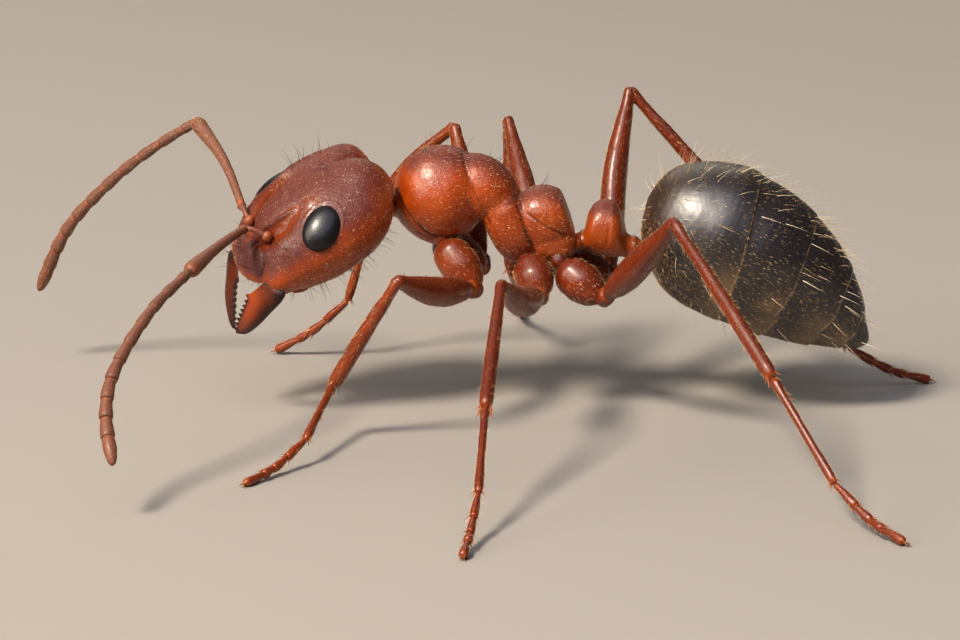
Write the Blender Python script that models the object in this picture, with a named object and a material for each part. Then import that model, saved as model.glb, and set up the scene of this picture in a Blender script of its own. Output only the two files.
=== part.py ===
"""A large worker of a red and black desert ant, life-size, standing with its feelers out.

Everything is modelled in millimetres under one empty that scales it to metres. The ant faces -X, its
right side is +Y, and its feet rest on the floor at z = 0. A part's own frame has x running to the
rear, y to the right and z up, as the world has.
"""

from math import acos, asin, cos, pi, radians, sin

import bmesh
import bpy
import numpy as np
from mathutils import Euler, Matrix, Vector

MILLIMETRE = 0.001
CENTRE_SHIFT = Vector((1.158, 1.512, 0.0))  # puts the middle of the whole stance over the origin
GAP = 0.03  # the thin cut between neighbouring parts

# Head: where its middle is, and how it is turned, nodded and tilted
HEAD_PLACE = (-3.68, -0.62, 3.06)
HEAD_TURN, HEAD_NOD, HEAD_TILT = 25.5, 32.0, 15.5
EYE_SIZE = (0.385, 0.275, 0.2)  # half of length, width and thickness
SCAPE_LENGTH = 2.45
FEELER_RADIUS = 0.25

# Legs: lengths of femur, tibia, first tarsal joint and the rest of the foot
LEG_LENGTHS = {
    "fore": (2.58, 2.16, 1.53, 1.55),
    "mid": (2.98, 2.59, 1.75, 1.48),
    "hind": (3.20, 3.35, 2.05, 1.52),
}
# Where a coxa starts on the body and where it ends at the hip, on the right side
COXAE = {
    "fore": ((-1.52, 0.42, 2.62), (-0.99, 0.69, 2.03)),
    "mid": ((-0.22, 0.40, 2.52), (-0.02, 0.87, 1.98)),
    "hind": ((0.40, 0.38, 2.48), (1.00, 0.65, 1.92)),
}
COXA_RADIUS = {"fore": 0.34, "mid": 0.31, "hind": 0.33}
LIMB_RADIUS = 0.25
TOE_HEIGHT = 0.1  # of the foot's middle line over the floor at its tip
# The pose of each leg, one pair a segment: its heading in degrees, from 0 straight ahead to 90
# straight out, and its rise; the last segment takes the fall that brings its tip to the floor
STANCE = {
    "fore_left": ((63, 16), (-25, -60), (76, -17.5), (59, None)),
    "mid_left": ((81, 17.5), (88, -32), (90, -31), (85, None)),
    "hind_left": ((116, 35), (124, -33.5), (126, -38), (136, None)),
    "fore_right": ((67, 52.5), (21, -46), (-6.5, -72), (16, None)),
    "mid_right": ((70, 45), (222, -89), (90, -25.5), (90, None)),
    "hind_right": ((101, 59.5), (194, -46.5), (195, -46.5), (161, None)),
}

# Body sections: how far back, half the width, then the top and the bottom. The first and the last row
# are the tips, which have no width.
HEAD = (
    (-1.33, 0.00, -0.08, -0.08),
    (-1.20, 0.62, 0.20, -0.30),
    (-0.95, 0.86, 0.46, -0.50),
    (-0.60, 1.03, 0.68, -0.69),
    (-0.10, 1.16, 0.78, -0.80),
    (0.35, 1.20, 0.80, -0.80),
    (0.80, 1.10, 0.76, -0.70),
    (1.15, 0.80, 0.56, -0.48),
    (1.36, 0.00, 0.04, 0.04),
)
PRONOTUM = (
    (-2.37, 0.00, 3.42, 3.42),
    (-2.30, 0.34, 3.76, 3.24),
    (-2.10, 0.56, 4.06, 3.00),
    (-1.80, 0.70, 4.21, 2.74),
    (-1.50, 0.73, 4.24, 2.68),
    (-1.15, 0.62, 4.08, 2.84),
    (-0.90, 0.00, 3.45, 3.45),
)
MESOTHORAX = (
    (-1.55, 0.00, 3.60, 3.60),
    (-1.30, 0.50, 4.11, 3.06),
    (-1.00, 0.56, 4.08, 2.86),
    (-0.76, 0.57, 3.94, 2.62),
    (-0.50, 0.55, 3.70, 2.44),
    (-0.15, 0.48, 3.35, 2.36),
    (0.10, 0.00, 2.80, 2.80),
)
PROPODEUM = (
    (-0.65, 0.00, 3.00, 3.00),
    (-0.42, 0.42, 3.52, 2.50),
    (-0.10, 0.50, 3.58, 2.38),
    (0.20, 0.49, 3.46, 2.38),
    (0.40, 0.38, 3.18, 2.42),
    (0.53, 0.00, 2.72, 2.72),
)
PETIOLE = (
    (0.42, 0.00, 2.68, 2.68),
    (0.50, 0.16, 2.84, 2.53),
    (0.62, 0.19, 2.88, 2.51),
    (0.70, 0.36, 3.24, 2.50),
    (0.85, 0.43, 3.39, 2.49),
    (1.08, 0.43, 3.40, 2.45),
    (1.22, 0.38, 3.24, 2.46),
    (1.33, 0.24, 2.86, 2.44),
    (1.50, 0.18, 2.79, 2.42),
    (1.70, 0.00, 2.60, 2.60),
)
GASTER = (
    (-0.16, 0.00, 0.66, 0.66),
    (0.00, 0.58, 1.26, 0.04),
    (0.30, 0.86, 1.52, -0.30),
    (0.70, 1.05, 1.70, -0.56),
    (1.15, 1.14, 1.79, -0.65),
    (1.65, 1.14, 1.75, -0.66),
    (2.15, 1.05, 1.63, -0.63),
    (2.65, 0.88, 1.43, -0.55),
    (3.15, 0.64, 1.10, -0.43),
    (3.55, 0.42, 0.72, -0.31),
    (3.85, 0.22, 0.30, -0.20),
    (4.00, 0.00, 0.00, 0.00),
)
GASTER_PLACE = (1.55, 0.0, 2.70)
GASTER_DROOP = 23.8
GASTER_RINGS = (1.50, 2.45, 3.28, 3.72)  # where one segment's plate ends and the next begins
SUTURE_LEAN = 13.0  # of the cuts between the thorax's parts, in degrees
SUTURES = ((-1.14, 3.60), (-0.31, 3.10))  # where those cuts pass, along and up

# A mandible's outline from its hinge: along the blade and across it, without its teeth
BLADE_OUTER = ((-0.14, 0.06), (-0.12, -0.14), (0.02, -0.20), (0.24, -0.20), (0.48, -0.17),
               (0.74, -0.12), (0.96, -0.05), (1.10, 0.02))
BLADE_TOOTHED_TO = (0.40, 0.32)
BLADE_INNER = ((0.28, 0.26), (0.12, 0.20), (0.00, 0.17))
BLADE_TEETH = 8
TOOTH_HEIGHT = 0.07
BLADE_BOW = 0.04  # how far the blade's middle bulges forward
BLADE_THICKNESS = 0.26
# Places on the head, in its own frame, on the right side
HINGE = Vector((-1.23, 0.69, -0.14))
BLADE_ALONG = Vector((-0.75, -0.57, -0.75))
BLADE_ACROSS = Vector((-0.14, -0.717, 0.684))
EYE_PLACE = Vector((-0.04, 0.86, 0.46))
EYE_OUT = Vector((-0.03, 0.554, 0.832))
EYE_ALONG = Vector((0.874, -0.483, 0.321))
SOCKET = Vector((-0.81, 0.35, 0.60))
# Each feeler's elbow, middle joint and tip
FEELERS = {
    "left": ((-5.23, -3.75, 3.02), (-6.06, -6.05, 2.10), (-5.93, -7.20, 0.86)),
    "right": ((-5.68, 1.00, 4.42), (-7.15, 1.52, 3.28), (-8.52, 2.10, 1.21)),
}

# Colours of the shell, as linear red, green and blue
RED = (0.42, 0.09, 0.03)
BROWN = (0.22, 0.06, 0.03)
BLACK = (0.02, 0.016, 0.014)

for old in list(bpy.data.objects):
    bpy.data.objects.remove(old)

parts = bpy.data.collections.new("desert_ant")
cutters = bpy.data.collections.new("cutters")
for collection in (parts, cutters):
    bpy.context.scene.collection.children.link(collection)
cutters.hide_render = True

ant = bpy.data.objects.new("ant", None)
ant.location = CENTRE_SHIFT * MILLIMETRE
ant.scale = (MILLIMETRE,) * 3
parts.objects.link(ant)


def material(name, colour, roughness):
    made = bpy.data.materials.new(name)
    made.use_nodes = True
    shader = made.node_tree.nodes["Principled BSDF"]
    shader.inputs["Base Color"].default_value = (*colour, 1.0)
    shader.inputs["Roughness"].default_value = roughness
    shader.inputs["Metallic"].default_value = 0.0
    return made



def steady_slopes(x, y):
    """Slopes for a curve through the points that never swings past them."""
    steps = np.diff(y) / np.diff(x)
    slopes = np.zeros(len(x))
    slopes[0], slopes[-1] = steps[0], steps[-1]
    same_way = steps[:-1] * steps[1:] > 0
    middle = 2 * steps[:-1] * steps[1:] / np.where(same_way, steps[:-1] + steps[1:], 1)
    slopes[1:-1] = np.where(same_way, middle, 0)
    return slopes


def smooth_through(x, y, at):
    """A smooth curve through the points (x, y), read at the place `at`."""
    slopes = steady_slopes(x, y)
    i = min(max(np.searchsorted(x, at) - 1, 0), len(x) - 2)
    span = x[i + 1] - x[i]
    t = (at - x[i]) / span
    return (
        (1 + 2 * t) * (1 - t) ** 2 * y[i]
        + t * (1 - t) ** 2 * span * slopes[i]
        + t * t * (3 - 2 * t) * y[i + 1]
        + t * t * (t - 1) * span * slopes[i + 1]
    )


def drawn_out_ball(sections, rings, sides, grow=0.0):
    """A ball whose rings take the width, top and bottom of a table of sections along x."""
    table = np.array(sections)
    first, last = table[0, 0], table[-1, 0]
    turns = np.array([acos(1 - 2 * (row[0] - first) / (last - first)) for row in table])
    ball = bmesh.new()
    bmesh.ops.create_uvsphere(ball, u_segments=sides, v_segments=rings, radius=1.0)
    for vertex in ball.verts:
        turn = acos(max(-1.0, min(1.0, -vertex.co.z)))
        half_width, top, bottom = (smooth_through(turns, table[:, k], turn) for k in (1, 2, 3))
        around = vertex.co.xy.normalized() if sin(turn) > 1e-6 else Vector((0, 0))
        middle, half_height = (top + bottom) / 2, (top - bottom) / 2
        along = first + (last - first) * (1 - cos(turn)) / 2 - grow * cos(turn)
        vertex.co = (
            along,
            (half_width + grow * sin(turn)) * around.x,
            middle + (half_height + grow * sin(turn)) * around.y,
        )
    return ball


def bisect(mesh, point, away):
    """Cuts off what lies beyond a plane, on the side that `away` points to, and closes the cut."""
    everything = list(mesh.verts) + list(mesh.edges) + list(mesh.faces)
    bmesh.ops.bisect_plane(
        mesh, geom=everything, dist=1e-6, plane_co=point, plane_no=away, clear_outer=True
    )
    rim = [edge for edge in mesh.edges if edge.is_boundary]
    bmesh.ops.holes_fill(mesh, edges=rim)


def place(name, mesh, frame, finish, collection=parts):
    """Makes an object of the mesh, standing in its frame under the ant's empty."""
    data = bpy.data.meshes.new(name)
    mesh.to_mesh(data)
    mesh.free()
    data.materials.append(finish)
    data.shade_smooth()
    data.set_sharp_from_angle(angle=radians(40))
    made = bpy.data.objects.new(name, data)
    collection.objects.link(made)
    made.parent = ant
    made.matrix_basis = frame
    if collection is cutters:
        made.hide_render = True
        made.display_type = "WIRE"
    return made


def cut_out(piece, cutter):
    boolean = piece.modifiers.new("clear of " + cutter.name, "BOOLEAN")
    boolean.operation = "DIFFERENCE"
    boolean.object = cutter
    boolean.solver = "EXACT"


def frame_along(start, towards, up=(0, 0, 1)):
    """A frame at start whose x axis points in the direction given."""
    x = Vector(towards).normalized()
    y = Vector(up).cross(x).normalized()
    frame = Matrix((x, y, x.cross(y))).transposed().to_4x4()
    return Matrix.Translation(start) @ frame


def limb_sections(length, radii):
    """A round limb with rounded ends past its two joints, from radii at its start, belly and end."""
    start, belly, end = radii
    return (
        (-start, 0.0, 0.0, 0.0),
        (0.0, start, start, -start),
        (length * 0.4, belly, belly, -belly),
        (length, end, end, -end),
        (length + end, 0.0, 0.0, 0.0),
    )


def limb(name, joints, number, radii, finish, sides=10):
    """The segment from joints[number] to the next, mitred to its neighbours with a thin cut."""
    start, end = joints[number], joints[number + 1]
    frame = frame_along(start, end - start)
    mesh = drawn_out_ball(limb_sections((end - start).length, radii), 9, sides)
    mesh.transform(frame)
    here = (end - start).normalized()
    if number > 0:
        before = (start - joints[number - 1]).normalized()
        mitre = (before + here).normalized()
        bisect(mesh, start + mitre * GAP / 2, -mitre)
    if number + 2 < len(joints):
        after = (joints[number + 2] - end).normalized()
        mitre = (here + after).normalized()
        bisect(mesh, end - mitre * GAP / 2, mitre)
    if min(vertex.co.z for vertex in mesh.verts) < 0:
        bisect(mesh, Vector((0, 0, 0)), Vector((0, 0, -1)))
    mesh.transform(frame.inverted())
    return place(name, mesh, frame, finish)


def body_part(name, sections, frame, finish, cuts=(), rings=14, sides=18, grow=0.0, collection=parts):
    """A part drawn from its sections, cut square across at planes given as (point, away)."""
    mesh = drawn_out_ball(sections, rings, sides, grow)
    for point, away in cuts:
        bisect(mesh, Vector(point), Vector(away))
    return place(name, mesh, frame, finish, collection)


# Head, with its eyes set into sockets
head_frame = Matrix.Translation(HEAD_PLACE) @ (
    Euler((0, 0, radians(HEAD_TURN))).to_matrix()
    @ Euler((0, radians(-HEAD_NOD), 0)).to_matrix()
    @ Euler((radians(HEAD_TILT), 0, 0)).to_matrix()
).to_4x4()
shell_red = material("red_chitin", RED, 0.4)
head = body_part("head", HEAD, head_frame, shell_red, rings=18, sides=24)
head_space = body_part("head_space", HEAD, head_frame, shell_red, grow=GAP, collection=cutters)


def mirrored(vector, side):
    """A place given for the right side, on the side asked for."""
    return Vector((vector[0], vector[1] * (1 if side == "right" else -1), vector[2]))


def eye_mesh(grow):
    mesh = bmesh.new()
    bmesh.ops.create_uvsphere(mesh, u_segments=16, v_segments=10, radius=1.0)
    bmesh.ops.scale(mesh, vec=[half + grow for half in EYE_SIZE], verts=mesh.verts)
    return mesh


eye_black = material("eye", BLACK, 0.2)
for side in ("left", "right"):
    along = mirrored(EYE_ALONG, side).normalized()
    across = mirrored(EYE_OUT, side).cross(along).normalized()
    turned = Matrix((along, across, along.cross(across))).transposed().to_4x4()
    eye_frame = head_frame @ Matrix.Translation(mirrored(EYE_PLACE, side)) @ turned
    place("eye_" + side, eye_mesh(0.0), eye_frame, eye_black)
    socket = place("socket_" + side, eye_mesh(GAP), eye_frame, shell_red, cutters)
    cut_out(head, socket)

# Mandibles: flat toothed blades that hang from the front corners of the head


def blade_outline():
    """The blade's outline, its biting edge cut into teeth that shorten away from the tip."""
    tip, heel = Vector(BLADE_OUTER[-1]), Vector(BLADE_TOOTHED_TO)
    edge = heel - tip
    out = Vector((edge.y, -edge.x)).normalized()
    outline = [Vector(point) for point in BLADE_OUTER]
    for tooth in range(BLADE_TEETH):
        height = TOOTH_HEIGHT * (1 - 0.4 * tooth / BLADE_TEETH)
        outline.append(tip + edge * (tooth + 0.35) / BLADE_TEETH)
        outline.append(tip + edge * (tooth + 0.75) / BLADE_TEETH + out * height)
    outline.append(heel)
    outline += [Vector(point) for point in BLADE_INNER]
    return outline


for side in ("left", "right"):
    mesh = bmesh.new()
    along = mirrored(BLADE_ALONG, side).normalized()
    across = mirrored(BLADE_ACROSS, side).normalized()
    through = along.cross(across).normalized()
    hinge = mirrored(HINGE, side)
    forward = -through if side == "left" else through
    corners = []
    for u, v in blade_outline():
        bow = forward * BLADE_BOW * sin(pi * u / BLADE_OUTER[-1][0])
        middle = hinge + along * u + across * v + bow
        corners.append(mesh.verts.new(middle - through * BLADE_THICKNESS / 2))
    blade = mesh.faces.new(corners)
    grown = bmesh.ops.extrude_face_region(mesh, geom=[blade])
    moved = [item for item in grown["geom"] if isinstance(item, bmesh.types.BMVert)]
    bmesh.ops.translate(mesh, vec=through * BLADE_THICKNESS, verts=moved)
    bmesh.ops.recalc_face_normals(mesh, faces=mesh.faces)
    inward = mirrored((0, -1, 0), side)
    bisect(mesh, -inward * GAP, inward)
    mandible = place("mandible_" + side, mesh, head_frame, shell_red)
    cut_out(mandible, head_space)

# Feelers: a long scape and a whip in two lengths
feeler_brown = material("feeler_brown", BROWN, 0.5)
for side, bends in FEELERS.items():
    joints = [head_frame @ mirrored(SOCKET, side)] + [Vector(bend) for bend in bends]
    reach = (joints[1] - joints[0]).normalized()
    joints[1] = joints[0] + reach * SCAPE_LENGTH
    thick = (FEELER_RADIUS,) * 3
    scape = limb("scape_" + side, joints, 0, thick, feeler_brown)
    cut_out(scape, head_space)
    limb("feeler_mid_" + side, joints, 1, thick, feeler_brown)
    limb("feeler_tip_" + side, joints, 2, thick, feeler_brown)

# Thorax in three parts, with cuts that lean back towards the legs
level = Matrix.Identity(4)
back = Vector((cos(radians(SUTURE_LEAN)), 0, sin(radians(SUTURE_LEAN))))


def suture(number, keep):
    """The plane of a thorax cut, for the part in front of it or the part behind."""
    along, up = SUTURES[number]
    away = back if keep == "front" else -back
    return Vector((along, 0, up)) - away * GAP / 2, away


body_part("pronotum", PRONOTUM, level, shell_red, [suture(0, "front")])
middle_cuts = [suture(0, "rear"), suture(1, "front")]
body_part("mesothorax", MESOTHORAX, level, shell_red, middle_cuts)
body_part("propodeum", PROPODEUM, level, shell_red, [suture(1, "rear")])
thorax_spaces = [
    body_part(name, sections, level, shell_red, grow=GAP, collection=cutters)
    for name, sections in (
        ("pronotum_space", PRONOTUM),
        ("mesothorax_space", MESOTHORAX),
        ("propodeum_space", PROPODEUM),
    )
]

# Neck, from low on the back of the head into the pronotum
NECK = (Vector((-2.62, 0.02, 3.30)), Vector((-2.05, 0.0, 3.24)))
neck_sections = limb_sections((NECK[1] - NECK[0]).length, (0.20, 0.22, 0.24))
neck = body_part("neck", neck_sections, frame_along(NECK[0], NECK[1] - NECK[0]), shell_red, rings=8)
cut_out(neck, head_space)
cut_out(neck, thorax_spaces[0])

# Petiole, the waist's one rounded node, and the gaster in plates
gaster_frame = Matrix.Translation(GASTER_PLACE) @ Euler((0, radians(GASTER_DROOP), 0)).to_matrix().to_4x4()
shell_black = material("black_chitin", BLACK, 0.25)
gaster_space = body_part("gaster_space", GASTER, gaster_frame, shell_black, grow=GAP, collection=cutters)
petiole = body_part("petiole", PETIOLE, level, shell_red, rings=18, sides=14)
cut_out(petiole, gaster_space)
cut_out(petiole, thorax_spaces[2])

for number in range(len(GASTER_RINGS) + 1):
    cuts = []
    if number > 0:
        cuts.append(((GASTER_RINGS[number - 1] + GAP / 2, 0, 0), (-1, 0, 0)))
    if number < len(GASTER_RINGS):
        cuts.append(((GASTER_RINGS[number] - GAP / 2, 0, 0), (1, 0, 0)))
    body_part("gaster_%d" % (number + 1), GASTER, gaster_frame, shell_black, cuts, rings=20, sides=22)


# Legs
def leg_joints(pair, side):
    """The hip, knee, ankle, heel and toe of one leg."""
    out = 1 if side == "right" else -1
    joints = [mirrored(COXAE[pair][1], side)]
    for length, (heading, rise) in zip(LEG_LENGTHS[pair], STANCE[pair + "_" + side]):
        if rise is None:
            fall = asin((joints[-1].z - TOE_HEIGHT) / length)
        else:
            fall = -radians(rise)
        level_step = length * cos(fall)
        ahead, aside = cos(radians(heading)), sin(radians(heading))
        step = Vector((-level_step * ahead, out * level_step * aside, -length * sin(fall)))
        joints.append(joints[-1] + step)
    return joints


leg_brown = material("leg_brown", BROWN, 0.4)
for leg in STANCE:
    pair, side = leg.split("_")
    hip_start = mirrored(COXAE[pair][0], side)
    joints = [hip_start] + leg_joints(pair, side)
    wide = COXA_RADIUS[pair]
    coxa = limb("coxa_" + leg, joints, 0, (wide * 0.9, wide, LIMB_RADIUS), leg_brown, sides=14)
    for space in thorax_spaces:
        cut_out(coxa, space)
    limb("femur_" + leg, joints, 1, (LIMB_RADIUS, 0.28, LIMB_RADIUS), leg_brown)
    limb("tibia_" + leg, joints, 2, (LIMB_RADIUS,) * 3, leg_brown, sides=8)
    limb("basitarsus_" + leg, joints, 3, (LIMB_RADIUS,) * 3, leg_brown, sides=8)
    limb("foot_" + leg, joints, 4, (LIMB_RADIUS,) * 3, leg_brown, sides=8)
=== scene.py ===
"""A large worker of a red and black desert ant, life-size, as a still model on a plain pale floor.

The ant faces -X, its right side is +Y and the floor is z = 0. Shapes are worked out in millimetres
and turned to metres when a mesh is made.
"""

from math import cos, pi, radians, sin

import bpy
import numpy as np
from mathutils import Euler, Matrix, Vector


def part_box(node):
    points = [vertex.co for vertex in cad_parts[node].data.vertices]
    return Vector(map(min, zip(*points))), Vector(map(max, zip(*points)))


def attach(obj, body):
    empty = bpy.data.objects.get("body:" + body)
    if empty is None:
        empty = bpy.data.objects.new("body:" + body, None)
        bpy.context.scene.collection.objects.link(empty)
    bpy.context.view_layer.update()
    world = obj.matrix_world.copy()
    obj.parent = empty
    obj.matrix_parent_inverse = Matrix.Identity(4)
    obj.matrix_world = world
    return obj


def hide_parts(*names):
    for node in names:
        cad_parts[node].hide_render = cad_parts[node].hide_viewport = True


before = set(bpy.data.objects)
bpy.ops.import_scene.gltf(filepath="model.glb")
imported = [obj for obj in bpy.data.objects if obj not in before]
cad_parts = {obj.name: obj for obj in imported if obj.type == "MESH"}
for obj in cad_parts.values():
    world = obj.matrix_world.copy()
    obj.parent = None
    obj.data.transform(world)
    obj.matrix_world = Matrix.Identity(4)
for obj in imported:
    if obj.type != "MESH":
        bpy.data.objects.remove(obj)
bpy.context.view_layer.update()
MM = 0.001

# ---- Camera: a long macro lens a hand's breadth away, a little above the ant and square to its left
# side, so that the far legs show over its back.
camera_data = bpy.data.cameras.new("camera")
camera_data.sensor_width = 36
camera_data.lens = 186.9
camera_data.clip_start = 0.005
camera_data.clip_end = 5
camera = bpy.data.objects.new("camera", camera_data)
bpy.context.scene.collection.objects.link(camera)
bpy.context.scene.camera = camera
aim = Vector((0.128, 1.512, 1.384)) * MM
swing, rise, reach = radians(4), radians(14), 80 * MM
backwards = Vector((sin(swing) * cos(rise), -cos(swing) * cos(rise), sin(rise)))
camera.location = aim + backwards * reach
camera.rotation_euler = backwards.to_track_quat("Z", "Y").to_euler()


# ---- Floor and light: a plain pale sheet, a soft warm lamp high on the ant's left and ahead of it, a
# wide cool one that gives the shell its lilac sheen, and one behind that catches the hairs.
def linear(colour):
    """An sRGB hex colour as the linear red, green, blue and alpha that sockets take."""
    parts = [int(colour[i : i + 2], 16) / 255 for i in (1, 3, 5)]
    return [p / 12.92 if p <= 0.04045 else ((p + 0.055) / 1.055) ** 2.4 for p in parts] + [1.0]


def add(tree, kind, inputs=None, **settings):
    """Adds a node with its settings, and its inputs as values or as links from other sockets."""
    made = tree.nodes.new(kind)
    for name, value in settings.items():
        setattr(made, name, value)
    for name, value in (inputs or {}).items():
        if isinstance(value, bpy.types.NodeSocket):
            tree.links.new(value, made.inputs[name])
        else:
            made.inputs[name].default_value = value
    return made


def empty_material(name):
    """A new material, its node tree and the output that is all the tree holds yet."""
    made = bpy.data.materials.new(name)
    made.use_nodes = True
    made.node_tree.nodes.clear()
    return made, made.node_tree, made.node_tree.nodes.new("ShaderNodeOutputMaterial")


# Floor paint: a matt warm grey, so that nothing but shadow shows on it
floor_paint, tree, output = empty_material("floor_paint")
shader = add(tree, "ShaderNodeBsdfPrincipled", {"Base Color": linear("#98938d"), "Roughness": 0.9})
tree.links.new(shader.outputs["BSDF"], output.inputs["Surface"])
FLOOR_SIZE = 1.2
bpy.ops.mesh.primitive_plane_add(size=FLOOR_SIZE, location=(0, FLOOR_SIZE / 4, 0))
floor = bpy.context.object
floor.name = "floor"
floor.data.materials.append(floor_paint)

world = bpy.data.worlds.new("world")
bpy.context.scene.world = world
world.use_nodes = True
world.node_tree.nodes["Background"].inputs["Color"].default_value = linear("#d3d6dc")
world.node_tree.nodes["Background"].inputs["Strength"].default_value = 0.13
bpy.context.scene.view_settings.view_transform = "Standard"
bpy.context.scene.view_settings.look = "Medium High Contrast"

# Each lamp: where it hangs in millimetres, its width, its power in watts and its colour
LAMPS = {
    "key": ((-76, -90, 140), 42, 0.43, "#fff1de"),
    "sky": ((-10, -110, 160), 200, 0.16, "#e2e8ff"),
    "side": ((-130, -80, 70), 90, 0.10, "#fff4ea"),
    "rim": ((-30, 130, 120), 170, 0.07, "#fff6e6"),
}
for name, (place, width, power, colour) in LAMPS.items():
    lamp = bpy.data.lights.new(name, "AREA")
    lamp.shape = "DISK"
    lamp.size = width * MM
    lamp.energy = power
    lamp.color = linear(colour)[:3]
    hung = bpy.data.objects.new(name, lamp)
    bpy.context.scene.collection.objects.link(hung)
    hung.location = Vector(place) * MM
    hung.rotation_euler = (hung.location - aim).to_track_quat("Z", "Y").to_euler()


# ---- Head: one hard capsule of red chitin, dusky on top, partly its own colour and partly a painted
# lilac sheen. Its front carries the clypeus, a shield over the mouth, with a smooth pit on each side of
# it where a feeler is seated. Short hairs cover it.
HEAD_TURN, HEAD_NOD, HEAD_TILT = 25.5, 32.0, 15.5
# Sections of the head: how far back, half the width, then the top and the bottom
HEAD = (
    (-1.33, 0.00, -0.08, -0.08),
    (-1.20, 0.62, 0.20, -0.30),
    (-0.95, 0.86, 0.46, -0.50),
    (-0.60, 1.03, 0.68, -0.69),
    (-0.10, 1.16, 0.78, -0.80),
    (0.35, 1.20, 0.80, -0.80),
    (0.80, 1.10, 0.76, -0.70),
    (1.15, 0.80, 0.56, -0.48),
    (1.36, 0.00, 0.04, 0.04),
)
COAT = 0.015  # the skin lies this far inside the solids, and the hairs fill the rest
HEAD_RINGS, HEAD_SIDES = 240, 300
# Places on the head's left side, in its own frame: back, right and up from its middle
SOCKET = np.array((-0.77, -0.31, 0.55))
PIT = ((-0.95, -0.10, 0.45), (-0.80, -0.33, 0.55), (-0.50, -0.45, 0.64), (-0.20, -0.40, 0.72))
CARINA = ((-0.95, -0.06, 0.47), (-0.78, -0.14, 0.58), (-0.57, -0.25, 0.67), (-0.18, -0.36, 0.74))
CLYPEUS_EDGE = (
    (-0.96, 0.0, 0.46),
    (-0.96, -0.12, 0.45),
    (-0.96, -0.36, 0.40),
    (-1.08, -0.48, 0.24),
    (-1.20, -0.47, 0.10),
)
FURROW = ((0.60, 0.0, 0.79), (0.85, 0.0, 0.76), (1.10, 0.0, 0.62), (1.24, 0.0, 0.42))
SIMPLE_EYES = ((0.50, 0.0), (0.64, -0.10))  # the three dots on the crown: back and right
EYE_MIDDLE = np.array((-0.04, 0.0, 0.46))  # half way between the solid eyes
EYE_PLACE = np.array((-0.032, -0.851, 0.466))
EYE_OUT = np.array((-0.03, -0.554, 0.832))
EYE_ALONG = np.array((0.908, 0.333, 0.256))
EYE_SIZE = np.array((0.408, 0.298, 0.15))  # half of length, width and thickness


def unit(vector):
    """The same direction with a length of 1."""
    vector = np.array(vector, float)
    return vector / np.linalg.norm(vector, axis=-1, keepdims=True)


def eased(low, high, value):
    """Rises smoothly from 0 at low to 1 at high."""
    t = np.clip((value - low) / (high - low), 0, 1)
    return t * t * (3 - 2 * t)


def curve_through(x, y, at):
    """A smooth curve through the points (x, y) that never swings past them."""
    steps = np.diff(y) / np.diff(x)
    slopes = np.zeros(len(x))
    slopes[0], slopes[-1] = steps[0], steps[-1]
    same_way = steps[:-1] * steps[1:] > 0
    middle = 2 * steps[:-1] * steps[1:] / np.where(same_way, steps[:-1] + steps[1:], 1)
    slopes[1:-1] = np.where(same_way, middle, 0)
    i = np.clip(np.searchsorted(x, at) - 1, 0, len(x) - 2)
    span = x[i + 1] - x[i]
    t = (at - x[i]) / span
    return (
        (1 + 2 * t) * (1 - t) ** 2 * y[i]
        + t * (1 - t) ** 2 * span * slopes[i]
        + t * t * (3 - 2 * t) * y[i + 1]
        + t * t * (t - 1) * span * slopes[i + 1]
    )


def drawn_out(sections, rings, sides, inset):
    """Rings of a ball that takes the width, top and bottom of a table of sections, and its tips."""
    table = np.array(sections, float)
    first, last = table[0, 0], table[-1, 0]
    turns = np.arccos(np.clip(1 - 2 * (table[:, 0] - first) / (last - first), -1, 1))
    turn = np.linspace(0, pi, rings + 2)[1:-1]
    wide, top, bottom = (curve_through(turns, table[:, k], turn) for k in (1, 2, 3))
    around = np.arange(sides) * 2 * pi / sides
    level = np.ones(sides)
    along = first + (last - first) * (1 - np.cos(turn)) / 2 + inset * np.cos(turn)
    made = np.empty((rings, sides, 3))
    made[..., 0] = np.outer(along, level)
    made[..., 1] = np.outer(wide - inset * np.sin(turn), np.cos(around))
    made[..., 2] = np.outer((top + bottom) / 2, level)
    made[..., 2] += np.outer((top - bottom) / 2 - inset * np.sin(turn), np.sin(around))
    tips = np.array(((first + inset, 0, table[0, 2]), (last - inset, 0, table[-1, 2])))
    return made, tips


def normals_of(rings):
    """The outward directions of a skin given as rings from front to back."""
    around = np.roll(rings, -1, 1) - np.roll(rings, 1, 1)
    return unit(np.cross(around, np.gradient(rings, axis=0)) + 1e-12)


def near_line(points, line, width):
    """How near each point is to a line through places: 1 on it, falling off over the width."""
    nearest = np.full(points.shape[:-1], 1e9)
    for start, end in zip(line[:-1], line[1:]):
        start, step = np.array(start), np.subtract(end, start)
        t = np.clip((points - start) @ step / (step @ step), 0, 1)
        nearest = np.minimum(nearest, np.linalg.norm(points - start - t[..., None] * step, axis=-1))
    return np.exp(-((nearest / width) ** 2))


def spot(points, middle, sizes):
    """A soft round mark: 1 at its middle, falling off over its sizes back, across and up."""
    return np.exp(-(((points - middle) / sizes) ** 2).sum(-1))


def both_sides(points):
    """The points with those of the right side mirrored to the left, where features are placed."""
    return np.stack((points[..., 0], -np.abs(points[..., 1]), points[..., 2]), -1)


STRIP_FILL = 0.98  # how much of its strip of the UV map each part takes up


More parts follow.
